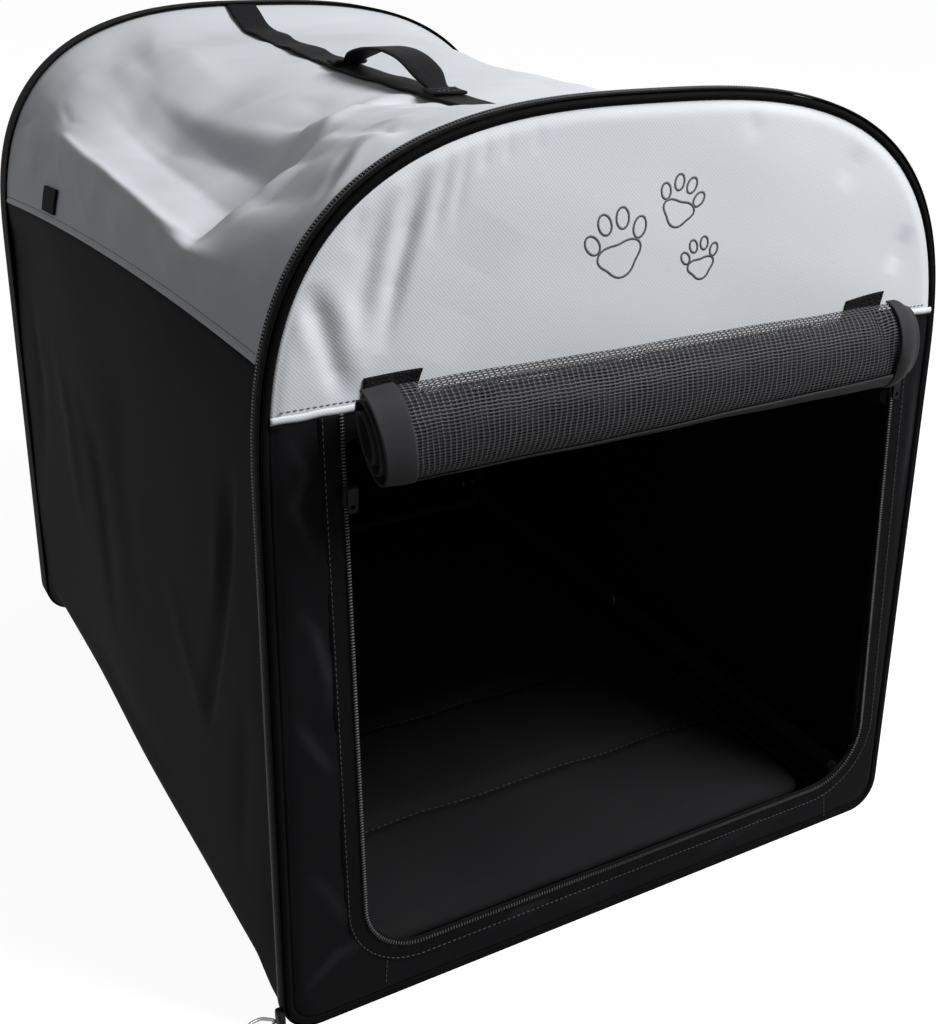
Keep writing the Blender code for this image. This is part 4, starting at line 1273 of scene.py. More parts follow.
        return self.sheet("lower_cloth", count, 26, place, weld=True).build(BLACK_CLOTH)

    def seam_fold(self) -> Piece:
        """Folded hem of the grey cloth along the seam."""
        half = HALF_W - self.inset - 0.0012
        low, width, proud = -0.0014, 0.0040, 0.0011

        def place(u: Array, v: Array) -> Laid:
            x = half * (2 * u - 1)
            wave = 0.0002 * np.sin(x * 310) + 0.0002 * np.sin(x * 130 + 1)
            flat = columns(x, PANEL_SEAM + low + width * v + wave)
            relief = self.relief(flat) * eased(flat[:, 1], PANEL_SEAM, PANEL_SEAM + width)
            round_edge = np.sin(math.pi * np.clip(v, 0.02, 0.98)) ** 0.5
            return end_points(flat, relief + proud * round_edge, self.end), flat

        return self.sheet("seam_fold", 300, 6, place, thick=0.0007).build(GREY_FRONT)

    def seam_stitches(self) -> Piece:
        """Row of stitches just above the seam fold."""
        count, margin, above = 400, 0.011, 0.0046
        x = np.linspace(-HALF_W + margin, HALF_W - margin, count)
        flat = columns(x, PANEL_SEAM + above)
        path = end_points(flat, self.relief(flat), self.end)
        return stitches(f"{self.label}_seam_stitches", path, every((0, self.end, 0), count), THREAD_DARK)

    def tick(self, word: str, ends: tuple[Place2, Place2]) -> Piece:
        """Short row of stitches in the bottom strip, between two places in mm."""
        foot, head = np.array(ends) * MM
        flat = foot + (head - foot) * np.linspace(0, 1, 12)[:, None]
        path = end_points(flat, folded(self.lower_folds, flat) + 0.0002, self.end)
        outward = every((0, self.end, 0), len(path))
        return stitches(f"{self.label}_{word}_strip_stitches", path, outward, THREAD_BLACK)

    def build(self) -> list[Piece]:
        """Builds the cloth of this end and rides it on its body."""
        made = [self.upper(), self.seam_fold(), self.seam_stitches()]
        if self.end < 0:
            made += [self.tick("left", ((-167, 12), (-166, 30))), self.tick("right", ((181, 5.5), (177, 36)))]
        made.append(self.lower_with_door() if self.end < 0 else self.lower_plain())
        mounted(made[:3], self.body)
        mounted(made[3:], self.body)
        low = body_outline(0.0)
        low = low[low[:, 1] < PANEL_SEAM]
        upper_area = enclosed(panel_track(0.0, PANEL_SEAM).points)
        lower_area = self.lower_cut if self.end < 0 else enclosed(low)
        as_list(made[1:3])
        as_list(made[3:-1])
        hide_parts(f"{self.label}_upper_panel")
        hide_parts(f"{self.label}_lower_panel")
        return made


def turned(shape: Array, degrees: float) -> Array:
    """A flat shape turned anticlockwise."""
    angle = math.radians(degrees)
    return shape @ np.array([[math.cos(angle), math.sin(angle)], [-math.sin(angle), math.cos(angle)]])

@dataclass
class PawPrint:
    """Line drawing of three paw prints on the front's upper cloth.

    Attributes:
        panel: the cloth it is printed on.
        highlight_line: half width of a line.
        proud: thickness of the ink.
        prints: x, z and size of each print, and how far it leans to the left in degrees, in mm.
        pad: half width and half height of a print's pad.
        pad_drop: how far below the print's place the pad lies.
        toe: half width and half height of a toe.
        toes: x, z and lean of each toe.
    """

    panel: EndPanel
    highlight_line: float = 0.00065
    proud: float = 0.00012
    prints: tuple[tuple[float, ...], ...] = ((-23, 450, 0.95, 14), (18, 470, 0.72, -16), (34, 436, 0.60, 10))
    pad: Place2 = (13.5, 10.5)
    pad_drop: float = 8
    toe: Place2 = (4.3, 6.3)
    toes: tuple[Place3, ...] = ((-16.5, 5.5, 24), (-6.2, 14.5, 8), (6.2, 14.5, -8), (16.5, 5.5, -24))

    def outlines(self) -> list[Array]:
        """Closed lines of pads and toes, in metres on the panel."""
        turns = np.linspace(0, 2 * math.pi, 44, endpoint=False)
        circle = columns(np.cos(turns), np.sin(turns))
        lobes = 1 - 0.16 * np.cos(3 * (turns - math.pi / 2)) + 0.05 * np.cos(2 * turns)
        lines = []
        for x, z, size, lean in self.prints:
            shapes = [circle * self.pad * lobes[:, None] - (0, self.pad_drop)]
            shapes += [turned(circle * self.toe, tilt) + (toe_x, toe_z) for toe_x, toe_z, tilt in self.toes]
            lines += [(turned(shape * size, lean) + (x, z)) * MM for shape in shapes]
        return lines

    def build(self) -> list[Piece]:
        """Builds the print as thin raised lines that follow the cloth."""
        bm = bmesh.new()
        under = -0.0001
        profile = np.array([(-self.highlight_line, under), (self.highlight_line, under), (self.highlight_line, self.proud),
                            (-self.highlight_line, self.proud)])
        for flat in self.outlines():
            path = end_points(flat, self.panel.relief(flat), -1)
            side = Track(flat, closed=True).side(run_along(flat))
            first = columns(side[:, 0], 0, side[:, 1])
            second = every((0, -1, 0), len(flat))
            ring = swept("paw_line", path, first, second, profile, PRINT_INK, closed=True)
            bm.from_mesh(ring.data)
            bpy.data.objects.remove(ring)
        piece = new_object("front_paw_print", bm, PRINT_INK)
        mounted([piece], Body.FRONT)
        return [piece]


def ring_frames(inset: float, y: float, count: int) -> tuple[Array, Array, Array]:
    """Points, outward and lengthwise unit vectors round the body's outline at y."""
    track = Track(body_outline(inset), closed=True)
    where = track.even(count)
    flat, side = track.at(where), track.side(where)
    path = columns(flat[:, 0], y, flat[:, 1])
    outward = columns(side[:, 0], 0, side[:, 1])
    return path, outward, every((0, 1, 0), count)


def rim_cord(name: str, inset: float, y: float, radius: float, sides: int, finish: Finish) -> Piece:
    """Round cord all the way round an end, its middle inside the outline by inset."""
    path, out, back = ring_frames(inset, y, RING_STEPS)
    return swept(name, path, out, back, round_profile(radius, sides), finish, closed=True)


def rim_band(name: str, inset: float, y: float, half_width: float, finish: Finish) -> Piece:
    """Flat band all the way round an end."""
    path, out, back = ring_frames(inset, y, RING_STEPS)
    return swept(name, path, back, out, flat_profile(half_width, BAND_HALF_THICK), finish, closed=True)


@dataclass
class FrontRim:
    """Edge of the front panel: round piping, a zip all the way round, its tape, and pale lines at each side
    of the zip that paint the highlights on its edges.

    Attributes:
        piping: inset, y and radius of the piping.
        tape: inset, y and half width of the tape.
        highlight_inset: inset of the thin pale line at each side of the zip, a painted highlight.
        lines: name, y and radius of each painted highlight line.
        zip_inset: inset of the zip's teeth.
        zip_y: y of the zip's teeth.
        tooth_pitch: distance between the zip's teeth.
    """

    piping: Place3 = (0.0030, -0.3022, 0.0026)
    tape: Place3 = (-0.0006, -0.2990, 0.0045)
    highlight_inset: float = -0.0008
    zip_inset: float = -0.0012
    zip_y: float = -0.2970
    tooth_pitch: float = 0.0019
    lines: tuple[tuple[str, float, float], ...] = (("front", -0.2992, 0.00075), ("rear", -0.2948, 0.0006))

    def teeth(self) -> Piece:
        """Nylon teeth of the edge zip."""
        count = int(Track(body_outline(0.0), closed=True).length() / self.tooth_pitch)
        path, out, back = ring_frames(self.zip_inset, self.zip_y, count)
        return teeth("front_rim_teeth", path, back, out, (0.0030, self.tooth_pitch * 0.62, 0.0012))

    def build(self) -> list[Piece]:
        """Builds the rim on the front frame."""
        made = [rim_cord("front_rim_piping", *self.piping, 10, BLACK_PIPING),
                rim_band("front_rim_tape", *self.tape, ZIP_TAPE)]
        # Thin pale cords beside the zip paint the highlights on its edges
        made += [rim_cord(f"front_rim_{word}_line", self.highlight_inset, y, radius, 8, RIM_HIGHLIGHT_CORD)
                 for word, y, radius in self.lines]
        made.append(self.teeth())
        mounted(made, Body.FRONT)
        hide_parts("front_piping")
        return made


@dataclass
class RearRim:
    """Edge of the rear panel: round piping with a thin light line and a binding band.

    Attributes:
        piping: inset, y and radius of the piping.
        band: inset, y and half width of the band.
        highlight_line: inset, y and radius of the line.
    """

    piping: Place3 = (0.0033, 0.3018, 0.0030)
    band: Place3 = (-0.0007, 0.2868, 0.0105)
    highlight_line: Place3 = (-0.0004, 0.2982, 0.0008)

    def build(self) -> list[Piece]:
        """Builds the rim on the rear frame."""
        made = [rim_cord("rear_rim_piping", *self.piping, 10, BLACK_PIPING),
                rim_band("rear_rim_band", *self.band, BLACK_PIPING),
                rim_cord("rear_rim_light_line", *self.highlight_line, 8, LIGHT_EDGE)]
        mounted(made, Body.REAR)
        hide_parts("rear_piping")
        return made

# Sides and roof

# How much larger a wall's rounded foot is between the hoops, where the cloth is drawn in: before the stretch
# TUCK_Y and past it. TUCK_REACH is how far from a hoop the change starts and ends.
WALL_TUCK = (0.010, 0.021)
TUCK_Y = (-0.12, 0.22)
TUCK_REACH = (0.004, 0.036)

# Creases of a wall on (y, height) in mm
WALL_FOLDS = (
    Fold(((-262, 345), (-246, 283), (-223, 222), (-180, 130)), 9, -2.4, skew=0.5, fade=0.2),
    Fold(((-240, 330), (-226, 275), (-205, 215)), 9, 1.3, fade=0.4),
    Fold(((-268, 210), (-250, 140), (-235, 70)), 12, -1.2),
    Fold(((84, 287), (43, 243), (22, 90)), 20, -1.8, skew=-0.3),
    Fold(((156, 302), (116, 241), (110, 150)), 16, 1.4),
    Fold(((-108, 222), (-141, 180), (-199, 126)), 14, 1.0),
    Fold(((-60, 340), (-20, 250), (-40, 150)), 26, -1.4),
    Fold(((230, 330), (215, 240), (240, 150)), 15, -1.5),
    Fold(((-150, 60), (0, 45), (150, 62)), 16, -1.0, fade=0.3),
)


def corner_radius(y: Array) -> Array:
    """Radius of a wall's rounded foot, larger between the hoops, where the cloth is drawn in."""
    tuck = WALL_TUCK[0] + (WALL_TUCK[1] - WALL_TUCK[0]) * eased(y, *TUCK_Y)
    return CORNER + tuck * eased(TUBE_Y - TUBE - np.abs(y), *TUCK_REACH)


@dataclass
class Flank:
    """Black wall at one side, from the bottom corner up to the side seam.

    Attributes:
        side: -1 for the left, +1 for the right.
        thick: thickness of the cloth.
        wave: height of the cloth's gentle waves.
        slack: how far the cloth lies inside the body's outline.
        seed: picks the cloth's gentle waves.
    """

    side: int
    thick: float = 0.0016
    wave: float = 0.0016
    slack: float = 0.0006
    seed: int = 21

    def place(self, u: Array, v: Array) -> Laid:
        """Points of the wall: u up the side, v from front to rear."""
        y = SHEET_END * (2 * v - 1)
        radius = corner_radius(y)
        bend = math.pi / 2 * radius
        top = side_seam(y) - GAP / 2
        reach = u * (bend + top - radius)
        angle = np.clip(reach / bend, 0, 1) * math.pi / 2
        x = HALF_W - radius + radius * np.sin(angle)
        z = radius - radius * np.cos(angle) + np.maximum(0, reach - bend)
        arch_x = superellipse(arch_angle(z, 0.0), 0.0)[0]
        x = np.where(z > SPRING, arch_x, x)
        flat = columns(y, reach)
        calm = eased(z, 0, 0.05) * eased(top - z, 0, 0.03) * eased(SHEET_END - np.abs(y), 0, 0.025)
        mirrored = columns(y * (1 if self.side < 0 else -0.93), z)
        dent = (self.wave * uneven(flat, 0.22, self.seed) + folded(WALL_FOLDS, mirrored)) * calm
        return columns(self.side * (x - self.slack * calm + dent), y, z), flat

    def seam_line(self, above: float, count: int = 500) -> Laid:
        """Points and outward vectors along the side seam, above it by a distance."""
        y = np.linspace(-SHEET_END + 0.004, SHEET_END - 0.014, count)
        x, z = superellipse(arch_angle(side_seam(y) + above, 0.0), 0.0)
        return columns(self.side * x, y, z), every((self.side * 0.985, 0.0, 0.17), count)

    def build(self) -> list[Piece]:
        """Builds the wall and its seam."""
        word = "left" if self.side < 0 else "right"
        wall = Sheet(f"{word}_flank_cloth", 110, 150, self.place, (self.side, 0, 0), self.thick)
        wall_piece = wall.build(BLACK_WALL)
        path, out = self.seam_line(0.0010)
        profile = flat_profile(0.0016, 0.0006, 0.0002)
        path -= out * 0.0002
        fold = swept(f"{word}_side_seam_fold", path, every(UP, len(path)), out, profile, GREY_ROOF)
        path, out = self.seam_line(0.0046)
        sewing = stitches(f"{word}_side_seam_stitches", path, out, THREAD_DARK)
        folding([wall_piece])
        folding([fold, sewing])
        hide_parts(f"{word}_wall")
        return [wall_piece, fold, sewing]


# Creases of the roof finer than those of the part's own solid, on (arc from the left seam, y) in mm
ROOF_CREASES = (
    Fold(((74, 158), (66, 76), (62, -33), (57, -97), (60, -147)), 7, 2.4, fade=0.06),
    Fold(((60, -147), (92, -162), (133, -160), (176, -145)), 11, 3.6, skew=-0.5, fade=0.3),
    Fold(((180, -138), (174, -190), (168, -240), (163, -288)), 25, 6.0, skew=-0.4, fade=0.12),
    Fold(((122, -170), (118, -225), (110, -282)), 24, -4.5, fade=0.2),
    Fold(((173, -149), (212, -112), (250, -74), (281, -42)), 10, 2.6, fade=0.2),
    Fold(((164, -240), (140, -262), (112, -282)), 6, -1.8),
    Fold(((171, -262), (136, -280), (97, -293)), 5, 1.4),
    Fold(((192, -228), (173, -272)), 4.5, -1.4),
    Fold(((184, -187), (200, -205), (214, -238)), 4, 0.8),
    Fold(((200, 252), (190, 198), (182, 150), (180, 100)), 13, -3.0, fade=0.3),
    Fold(((182, 258), (170, 200), (160, 150)), 13, 2.0, fade=0.4),
    Fold(((222, 220), (218, 150), (212, 95)), 12, 1.6, fade=0.4),
    Fold(((103, 143), (92, 166), (101, 205)), 5, -1.0),
    Fold(((64, 150), (44, 124), (24, 92)), 4, 0.8),
    Fold(((60, 92), (40, 70), (14, 20)), 4, 0.8),
    Fold(((52, 40), (30, 0), (12, -40)), 5, -0.7),
    Fold(((46, -96), (34, -118), (8, -160)), 4, 0.9),
    Fold(((52, -150), (34, -170), (12, -205)), 4.5, -0.9),
    Fold(((40, 235), (34, 200), (20, 170)), 5, 0.8),
    Fold(((74, 230), (66, 258), (60, 280)), 6, -1.0),
    Fold(((236, 20), (240, -18), (226, -58)), 9, -1.2),
    Fold(((345, 200), (362, 60), (380, -60), (392, -200)), 42, 5.0, fade=0.4),
    Fold(((330, 180), (360, 120), (420, 60)), 16, 1.2),
    Fold(((400, -120), (440, -40), (470, 60)), 18, -1.6),
    Fold(((300, -210), (380, -180), (450, -190)), 15, -1.4),
)


@dataclass
class Roof:
    """Grey roof cloth that sags between the hoops, with its hook patch.

    Attributes:
        thick: thickness of the cloth.
        folds: its finer creases.
        seed: picks the cloth's gentle waves.
    """

    thick: float = 0.0014
    folds: tuple[Fold, ...] = ROOF_CREASES
    seed: int = 5

    def relief(self, flat: Array, y: Array, share: Array) -> Array:
        """Small heights of the cloth over its main form."""
        edge = np.minimum(share, 1 - share)
        calm = eased(SHEET_END - np.abs(y), 0.004, 0.04) * eased(edge, 0.01, 0.06)
        waves = 0.0009 * uneven(flat, 0.10, self.seed) + 0.0003 * uneven(flat, 0.035, self.seed + 1)
        return folded(self.folds, flat) * eased(edge, 0.0, 0.03) + waves * calm

    def lying(self, y: Array, share: Array) -> Laid:
        """Points of the cloth and their flat places, at y and at shares of the way across."""
        flat = columns(share * ROOF_ARC, y)
        points = roof_point(y, share, 0.0)
        relief = self.relief(flat, y, share) * eased(SHEET_END - np.abs(y), 0.0, 0.012)
        upright = np.sqrt(np.clip(np.minimum(share, 1 - share) / 0.13, 0.0, 1.0))
        points[:, 0] += np.sign(share - 0.5) * relief * np.sqrt(1 - upright**2)
        points[:, 2] += relief * upright
        return points, flat

    def place(self, u: Array, v: Array) -> Laid:
        """Points of the roof: u across from the left seam, v from front to rear."""
        along = 2 * v - 1
        return self.lying(SHEET_END * (0.75 * along + 0.25 * np.sin(along * math.pi / 2)), u)

    def top(self, x: Array, y: Array) -> Array:
        """Height of the roof cloth over places x, y."""
        share = roof_share(x, y)
        points, _ = self.lying(y, share)
        return points[:, 2]

    def build(self) -> list[Piece]:
        """Builds the roof cloth."""
        cloth = Sheet("roof_cloth", 230, 195, self.place, UP, self.thick).build(GREY_ROOF)
        folding([cloth])
        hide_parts("roof_sheet")
        return [cloth, self.patch()]

    def patch(self) -> Piece:
        """Hook patch on the left flank of the roof."""
        middle_y, length, rise, above, proud = 0.130, 0.034, 0.018, 0.016, 0.0022

        def place(u: Array, v: Array) -> Laid:
            y = middle_y + length * (v - 0.5)
            goal = side_seam(y) + above + rise * (u - 0.5)
            share = bisected(lambda part: roof_point(y, part, 0.0)[:, 2] < goal, np.full(len(y), 0.2), 18)
            points = roof_point(y, share, 0.0) + np.array([-0.97, 0.0, 0.24]) * proud
            return points, columns(y, goal)

        patch = Sheet("roof_hook_patch", 14, 24, place, (-1, 0, 0.2), 0.0018).build(HOOKS)
        folding([patch])
        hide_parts("hook_patch")
        return patch


@dataclass
class RoofWebbing:
    """Webbing strap along the roof and the carry handle sewn on it.

    Attributes:
        roof: the roof that it lies on.
        handle_line: the handle's middle as (y, z), in mm; where the strap is higher, it lies on the strap.
        handle_thick: thickness of the handle's webbing.
        grip_end: y of the grip's ends, where it comes out of the sewn ends.
        tucked: how far each sewn end reaches over the grip's end.
        narrowing: how much narrower the grip is at its ends, as a share, and over what length it narrows.
        sewn: y of the middle of each sewn end.
        box: half width and half length of the box of stitches.
        slack: height of the strap over the cloth, and of its waves.
    """

    roof: Roof
    handle_line: tuple[Place2, ...] = ((-88, 494), (-73, 500), (-59, 508.5), (-42, 516.5), (-20, 521),
                                       (5, 521.5), (32, 518.5), (56, 512), (72, 505), (89, 494))
    handle_thick: float = 0.0022
    grip_end: float = 0.073
    tucked: float = 0.002
    narrowing: Place2 = (0.4, 0.024)
    sewn: Place2 = (-0.081, 0.081)
    box: Place2 = (0.009, 0.0055)
    slack: Place2 = (0.0012, 0.0015)

    def middle(self, y: Array) -> Array:
        """x of the strap's middle, which drifts to the left at the rear."""
        return STRAP_X - STRAP_DRIFT * eased(y, *STRAP_DRIFT_Y)

    def height(self, x: Array, y: Array) -> Array:
        """Height of the strap's middle surface over places x, y; it lies on the cloth in slack waves."""
        steps = (-0.004, 0.0, 0.004)
        edges = [self.middle(y) + STRAP_WIDTH * part for part in (-0.5, 0.0, 0.5)]
        highest = np.max([self.roof.top(edge, y + step) for edge in edges for step in steps], axis=0)
        beneath = np.max([self.roof.top(x, y + step) for step in steps], axis=0)
        lift, wave = self.slack
        slack = (lift + wave * np.sin(y * 95.0) * bump(y, 0.19, 0.08)) * (1 - eased(np.abs(y), 0.250, 0.270))
        return 0.6 * highest + 0.4 * beneath + GAP + STRAP_THICK / 2 + slack

    def strap(self) -> Piece:
        """Strap from the front hoop to under the rear binding."""
        def place(u: Array, v: Array) -> Laid:
            y = STRAP_FRONT + (STRAP_REAR - STRAP_FRONT) * v
            edge = 0.0008 * np.sin(y * 210 + 2 * u) * bump(y, 0.17, 0.09)
            x = self.middle(y) + STRAP_WIDTH * (u - 0.5) + edge
            return columns(x, y, self.height(x, y)), columns(STRAP_WIDTH * u, y)

        return Sheet("roof_webbing", 10, 300, place, UP, STRAP_THICK).build(WEBBING)

    def handle_path(self, count: int) -> Array:
        """Points along the handle's middle, blended softly between its arch and the strap."""
        highlight_line = np.array(self.handle_line) * MM
        y = np.linspace(highlight_line[0, 0], highlight_line[-1, 0], count)
        taps = np.linspace(-0.012, 0.012, 9)
        arch = sum(np.interp(y + step, highlight_line[:, 0], highlight_line[:, 1]) for step in taps) / len(taps)
        x = self.middle(y)
        on_strap = self.height(x, y) + (STRAP_THICK + self.handle_thick) / 2
        soft = 0.0012
        return columns(x, y, soft * np.logaddexp(arch / soft, on_strap / soft))

    def handle(self) -> list[Piece]:
        """The grip, whose ends are narrowed, and the sewn ends at the front and at the rear."""
        path = self.handle_path(120)
        run = np.gradient(path, axis=0)
        run /= np.linalg.norm(run, axis=1, keepdims=True)
        first = every((1, 0, 0), len(path))
        up = np.cross(first, run)
        profile = flat_profile(STRAP_WIDTH / 2, self.handle_thick / 2)
        parts = {"roof_carry_handle": np.abs(path[:, 1]) < self.grip_end,
                 "handle_front_end": path[:, 1] < self.tucked - self.grip_end,
                 "handle_rear_end": path[:, 1] > self.grip_end - self.tucked}
        made = [swept(name, path[part], first[part], up[part], profile, WEBBING)
                for name, part in parts.items()]
        points = vertex_places(made[0].data)
        share, length = self.narrowing
        near_end = eased(np.abs(points[:, 1]), self.grip_end - length, self.grip_end)
        points[:, 0] = STRAP_X + (points[:, 0] - STRAP_X) * (1 - share * near_end)
        move_vertices(made[0].data, points)
        return made

    def box_stitches(self, name: str, middle: float) -> Piece:
        """Box and cross of stitches on one sewn end of the handle."""
        track = self.handle_path(160)
        turns = ((-1, -1), (1, -1), (1, 1), (-1, 1), (-1, -1), (1, 1), (1, -1), (-1, 1))
        corners = np.array(turns) * self.box
        share = np.linspace(0, 1, 8, endpoint=False)[:, None]
        flat = np.vstack([start + (end - start) * share for start, end in zip(corners, corners[1:])])
        y = middle + flat[:, 1]
        z = np.interp(y, track[:, 1], track[:, 2]) + self.handle_thick / 2
        path = columns(STRAP_X + flat[:, 0], y, z)
        return stitches(name, path, every(UP, len(path)), THREAD_BLACK, proud=0.0003)

    def build(self) -> list[Piece]:
        """Builds the strap and the handle."""
        strap = self.strap()
        handle, *ends = self.handle()
        words = ("front", "rear")
        sewing = [self.box_stitches(f"handle_{word}_box_stitches", y) for word, y in zip(words, self.sewn)]
        folding([handle], Body.HANDLE)
        folding([strap, *ends, *sewing])
        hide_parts("roof_strap")
        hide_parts("carry_handle")
        for end, thread in zip(ends, sewing):
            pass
        return [strap, handle, *ends, *sewing]

# Door

@dataclass
class DoorZip:
    """Zip round the door opening: tape and coil teeth.

    Attributes:
        width: width of the tape.
        thick: thickness of the tape.
        top: height where it goes under the grey cloth.
        tooth_pitch: distance between the teeth.
        tooth: length and height of a tooth.
        hem: how far the row of stitches lies inside the tape's outer edge.
    """

    width: float = ZIP_TAPE_WIDTH
    thick: float = 0.00063
    top: float = PANEL_SEAM - 4 * GAP
    tooth_pitch: float = 0.00185
    tooth: Place2 = (0.0030, 0.0014)
    hem: float = 0.0022

    def track(self) -> Track:
        """Edge of the opening, down the left side, along the bottom and up the right side."""
        steps = 12
        bottom = rounded_corners(DOOR_CORNERS, DOOR_RADII, steps)[:2 * (steps + 1)]
        points = [(door_edge(-1, self.top), self.top)] + bottom + [(door_edge(1, self.top), self.top)]
        return Track(np.array(points))

    def tape(self) -> Piece:
        """Tape sewn over the edge of the black cloth."""
        track = self.track()

        def place(u: Array, v: Array) -> Laid:
            run = u * track.length()
            flat = track.at(run) + track.side(run) * (self.width * v)[:, None]
            proud = 0.0006 + 0.00015 * np.sin(run * 260) * v
            proud = proud - 0.0005 * np.exp(-(((1 - v) / 0.10) ** 2))
            return end_points(flat, proud, -1), columns(self.width * v, run)

        return Sheet("door_zip_tape_cloth", 640, 10, place, (0, -1, 0), self.thick).build(ZIP_TAPE)

    def teeth(self) -> Piece:
        """Coil teeth along the inner edge of the tape."""
        track = self.track()
        run = np.arange(0.0, track.length(), self.tooth_pitch)
        side = track.side(run)
        centres = end_points(track.at(run) + side * 0.0016, np.full(len(run), self.tooth[1]), -1)
        along = columns(side[:, 0], 0, side[:, 1])
        size = (self.tooth[0], self.tooth_pitch * 0.6, self.tooth[1])
        return teeth("door_zip_teeth", centres, along, every((0, -1, 0), len(run)), size)

    def sewing(self) -> Piece:
        """Row of stitches along the tape's outer edge."""
        track = self.track()
        run = track.even(900)
        flat = track.at(run) + track.side(run) * (self.width - self.hem)
        path = end_points(flat, np.full(len(run), 0.0009), -1)
        return stitches("door_zip_stitches", path, every((0, -1, 0), len(run)), THREAD_BLACK)

    def build(self) -> list[Piece]:
        """Builds the zip on the front frame."""
        made = [self.tape(), self.teeth(), self.sewing()]
        mounted(made, Body.FRONT)
        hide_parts("door_zip_tape")
        self.track().length()
        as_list(made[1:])
        return made


@dataclass
class RolledDoor:
    """Net door rolled up under two tabs, with a cloth band at each side.

    Attributes:
        left: x of its left edge.
        right: x of its right edge.
        band: width of each side band.
        depth: half depth of the flattened roll.
        rise: half height of the roll.
        z: height of its middle.
        turns: number of turns.
        pitch: distance between turns.
        centre_y: y of its middle.
        slant: how far its left end leans to the right at the bottom.
        cone: how far each inner turn sticks out of the end.
        pucker: how far the net is drawn in beside the right band, as a share of its radius.
    """

    left: float = -0.185
    right: float = 0.181
    band: float = 0.018
    depth: float = 0.018
    rise: float = 0.028
    z: float = 0.3715
    turns: float = 2.6
    pitch: float = 0.0048
    centre_y: float = -0.3248
    slant: float = 0.010
    cone: float = 0.0016
    pucker: float = 0.13

    def spiral(self, turn: Array, inset: float) -> Array:
        """Places y, z on the roll's section after a number of turns, drawn in by inset."""
        angle = 2 * math.pi * turn + math.pi / 2
        drawn = self.pitch * turn
        return columns(self.centre_y + (self.depth - drawn - inset) * np.cos(angle),
                                self.z + (self.rise - 1.3 * drawn - inset) * np.sin(angle))

    def run_of(self, turn: Array, inset: float) -> Array:
        """Length of cloth from the outer end to each number of turns."""
        fine = np.linspace(0, self.turns, 900)
        return np.interp(turn, fine, run_along(self.spiral(fine, inset)))

    def point(self, x: Array, turn: Array, inset: float) -> Array:
        """Points of the roll, with its slack ends drawn in and its inner turns sticking out of them."""
        section = self.spiral(turn, inset)
        low = np.clip((self.z + self.rise - section[:, 1]) / (2 * self.rise), 0.0, 1.0)
        near_left = eased(x, self.left + 0.022, self.left)
        near_right = eased(x, self.right - 0.016, self.right)
        folded_in = bump(x, self.right - 0.033 + 0.020 * low, 0.0045)
        folded_in = folded_in * eased(low, 0.02, 0.15) * eased(low, 0.85, 0.55)
        flare = 0.05 * bump(x, self.right - 0.012, 0.009) * eased(low, 0.3, 0.8)
        scale = 1 - 0.05 * near_left**2 - 0.20 * near_right**2 - self.pucker * folded_in + flare
        scale = scale + 0.012 * np.sin(x * 41 + 3 * low) + 0.006 * np.sin(x * 97 + 1)
        centre = np.array([self.centre_y, self.z])
        out = self.cone * np.clip(turn - 0.7, 0.0, 2.0)
        slide = self.slant * low * eased(x, self.left + 0.090, self.left)
        shifted = x + slide - out * near_left + out * near_right
        return columns(shifted, centre + (section - centre) * scale[:, None])

    def sheet(self, name: str, left: float, right: float, across: int, inset: float, thick: float,
              finish: Finish) -> Piece:
        """A stretch of the roll between two places along x."""
        def place(u: Array, v: Array) -> Laid:
            turn, x = self.turns * v, left + (right - left) * u
            return self.point(x, turn, inset), columns(x, self.run_of(turn, inset))

        return Sheet(name, across, 190, place, None, thick).build(finish)

    def hem(self) -> Piece:
        """Plain hem strip along the lower front of the roll, wider to the right: the hem, and painted shade
        on the roll's underside.
        """
        low, high = self.left + self.band, self.right - self.band
        start, last, widening = 0.44, 0.56, 0.10

        def place(u: Array, v: Array) -> Laid:
            first = start - widening * u
            turn, x = first + (last - first) * v, low + (high - low) * u
            return self.point(x, turn, -0.0006), columns(x, self.run_of(turn, 0.0))

        # The plain dark strip hides the net's strands there, painting the shade of the roll's underside as
        # well as its hem
        return Sheet("roll_hem_and_shade", 120, 12, place, (0, -0.5, -1), 0.0009).build(ROLL_CLOTH)

    def band_stitches(self, name: str, x: float) -> Piece:
        """Row of stitches round a side band, on the outer turn."""
        turn = np.linspace(0.02, 0.78, 160)
        path = self.point(np.full(len(turn), x), turn, 0.0)
        outward = path - (0.0, self.centre_y, self.z)
        outward[:, 0] = 0.0
        outward /= np.linalg.norm(outward, axis=1, keepdims=True)
        return stitches(name, path, outward, THREAD_BLACK)

    def build(self) -> list[Piece]:
        """Builds the roll on the door's body."""
        overlap, inset = 0.003, 0.0008
        net = self.sheet("rolled_net_door", self.left + self.band - overlap, self.right - self.band + overlap,
                         110, inset, 0.0, NET)
        trims = []
        for word, low, high in (("left", self.left, self.left + self.band),
                                ("right", self.right - self.band, self.right)):
            piece = self.sheet(f"{word}_roll_band", low, high, 14, 0.0, 0.0011, ROLL_CLOTH)
            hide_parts(f"{word}_door_binding")
            trims += [piece, self.band_stitches(f"{word}_band_outer_stitches", low + 0.0035),
                      self.band_stitches(f"{word}_band_inner_stitches", high - 0.0030)]
        trims.append(self.hem())
        mounted([net], Body.DOOR)
        mounted(trims, Body.DOOR)
        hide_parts("mesh_door_roll")
        length = float(self.run_of(np.array([self.turns]), inset)[0])
        return [net, *trims]


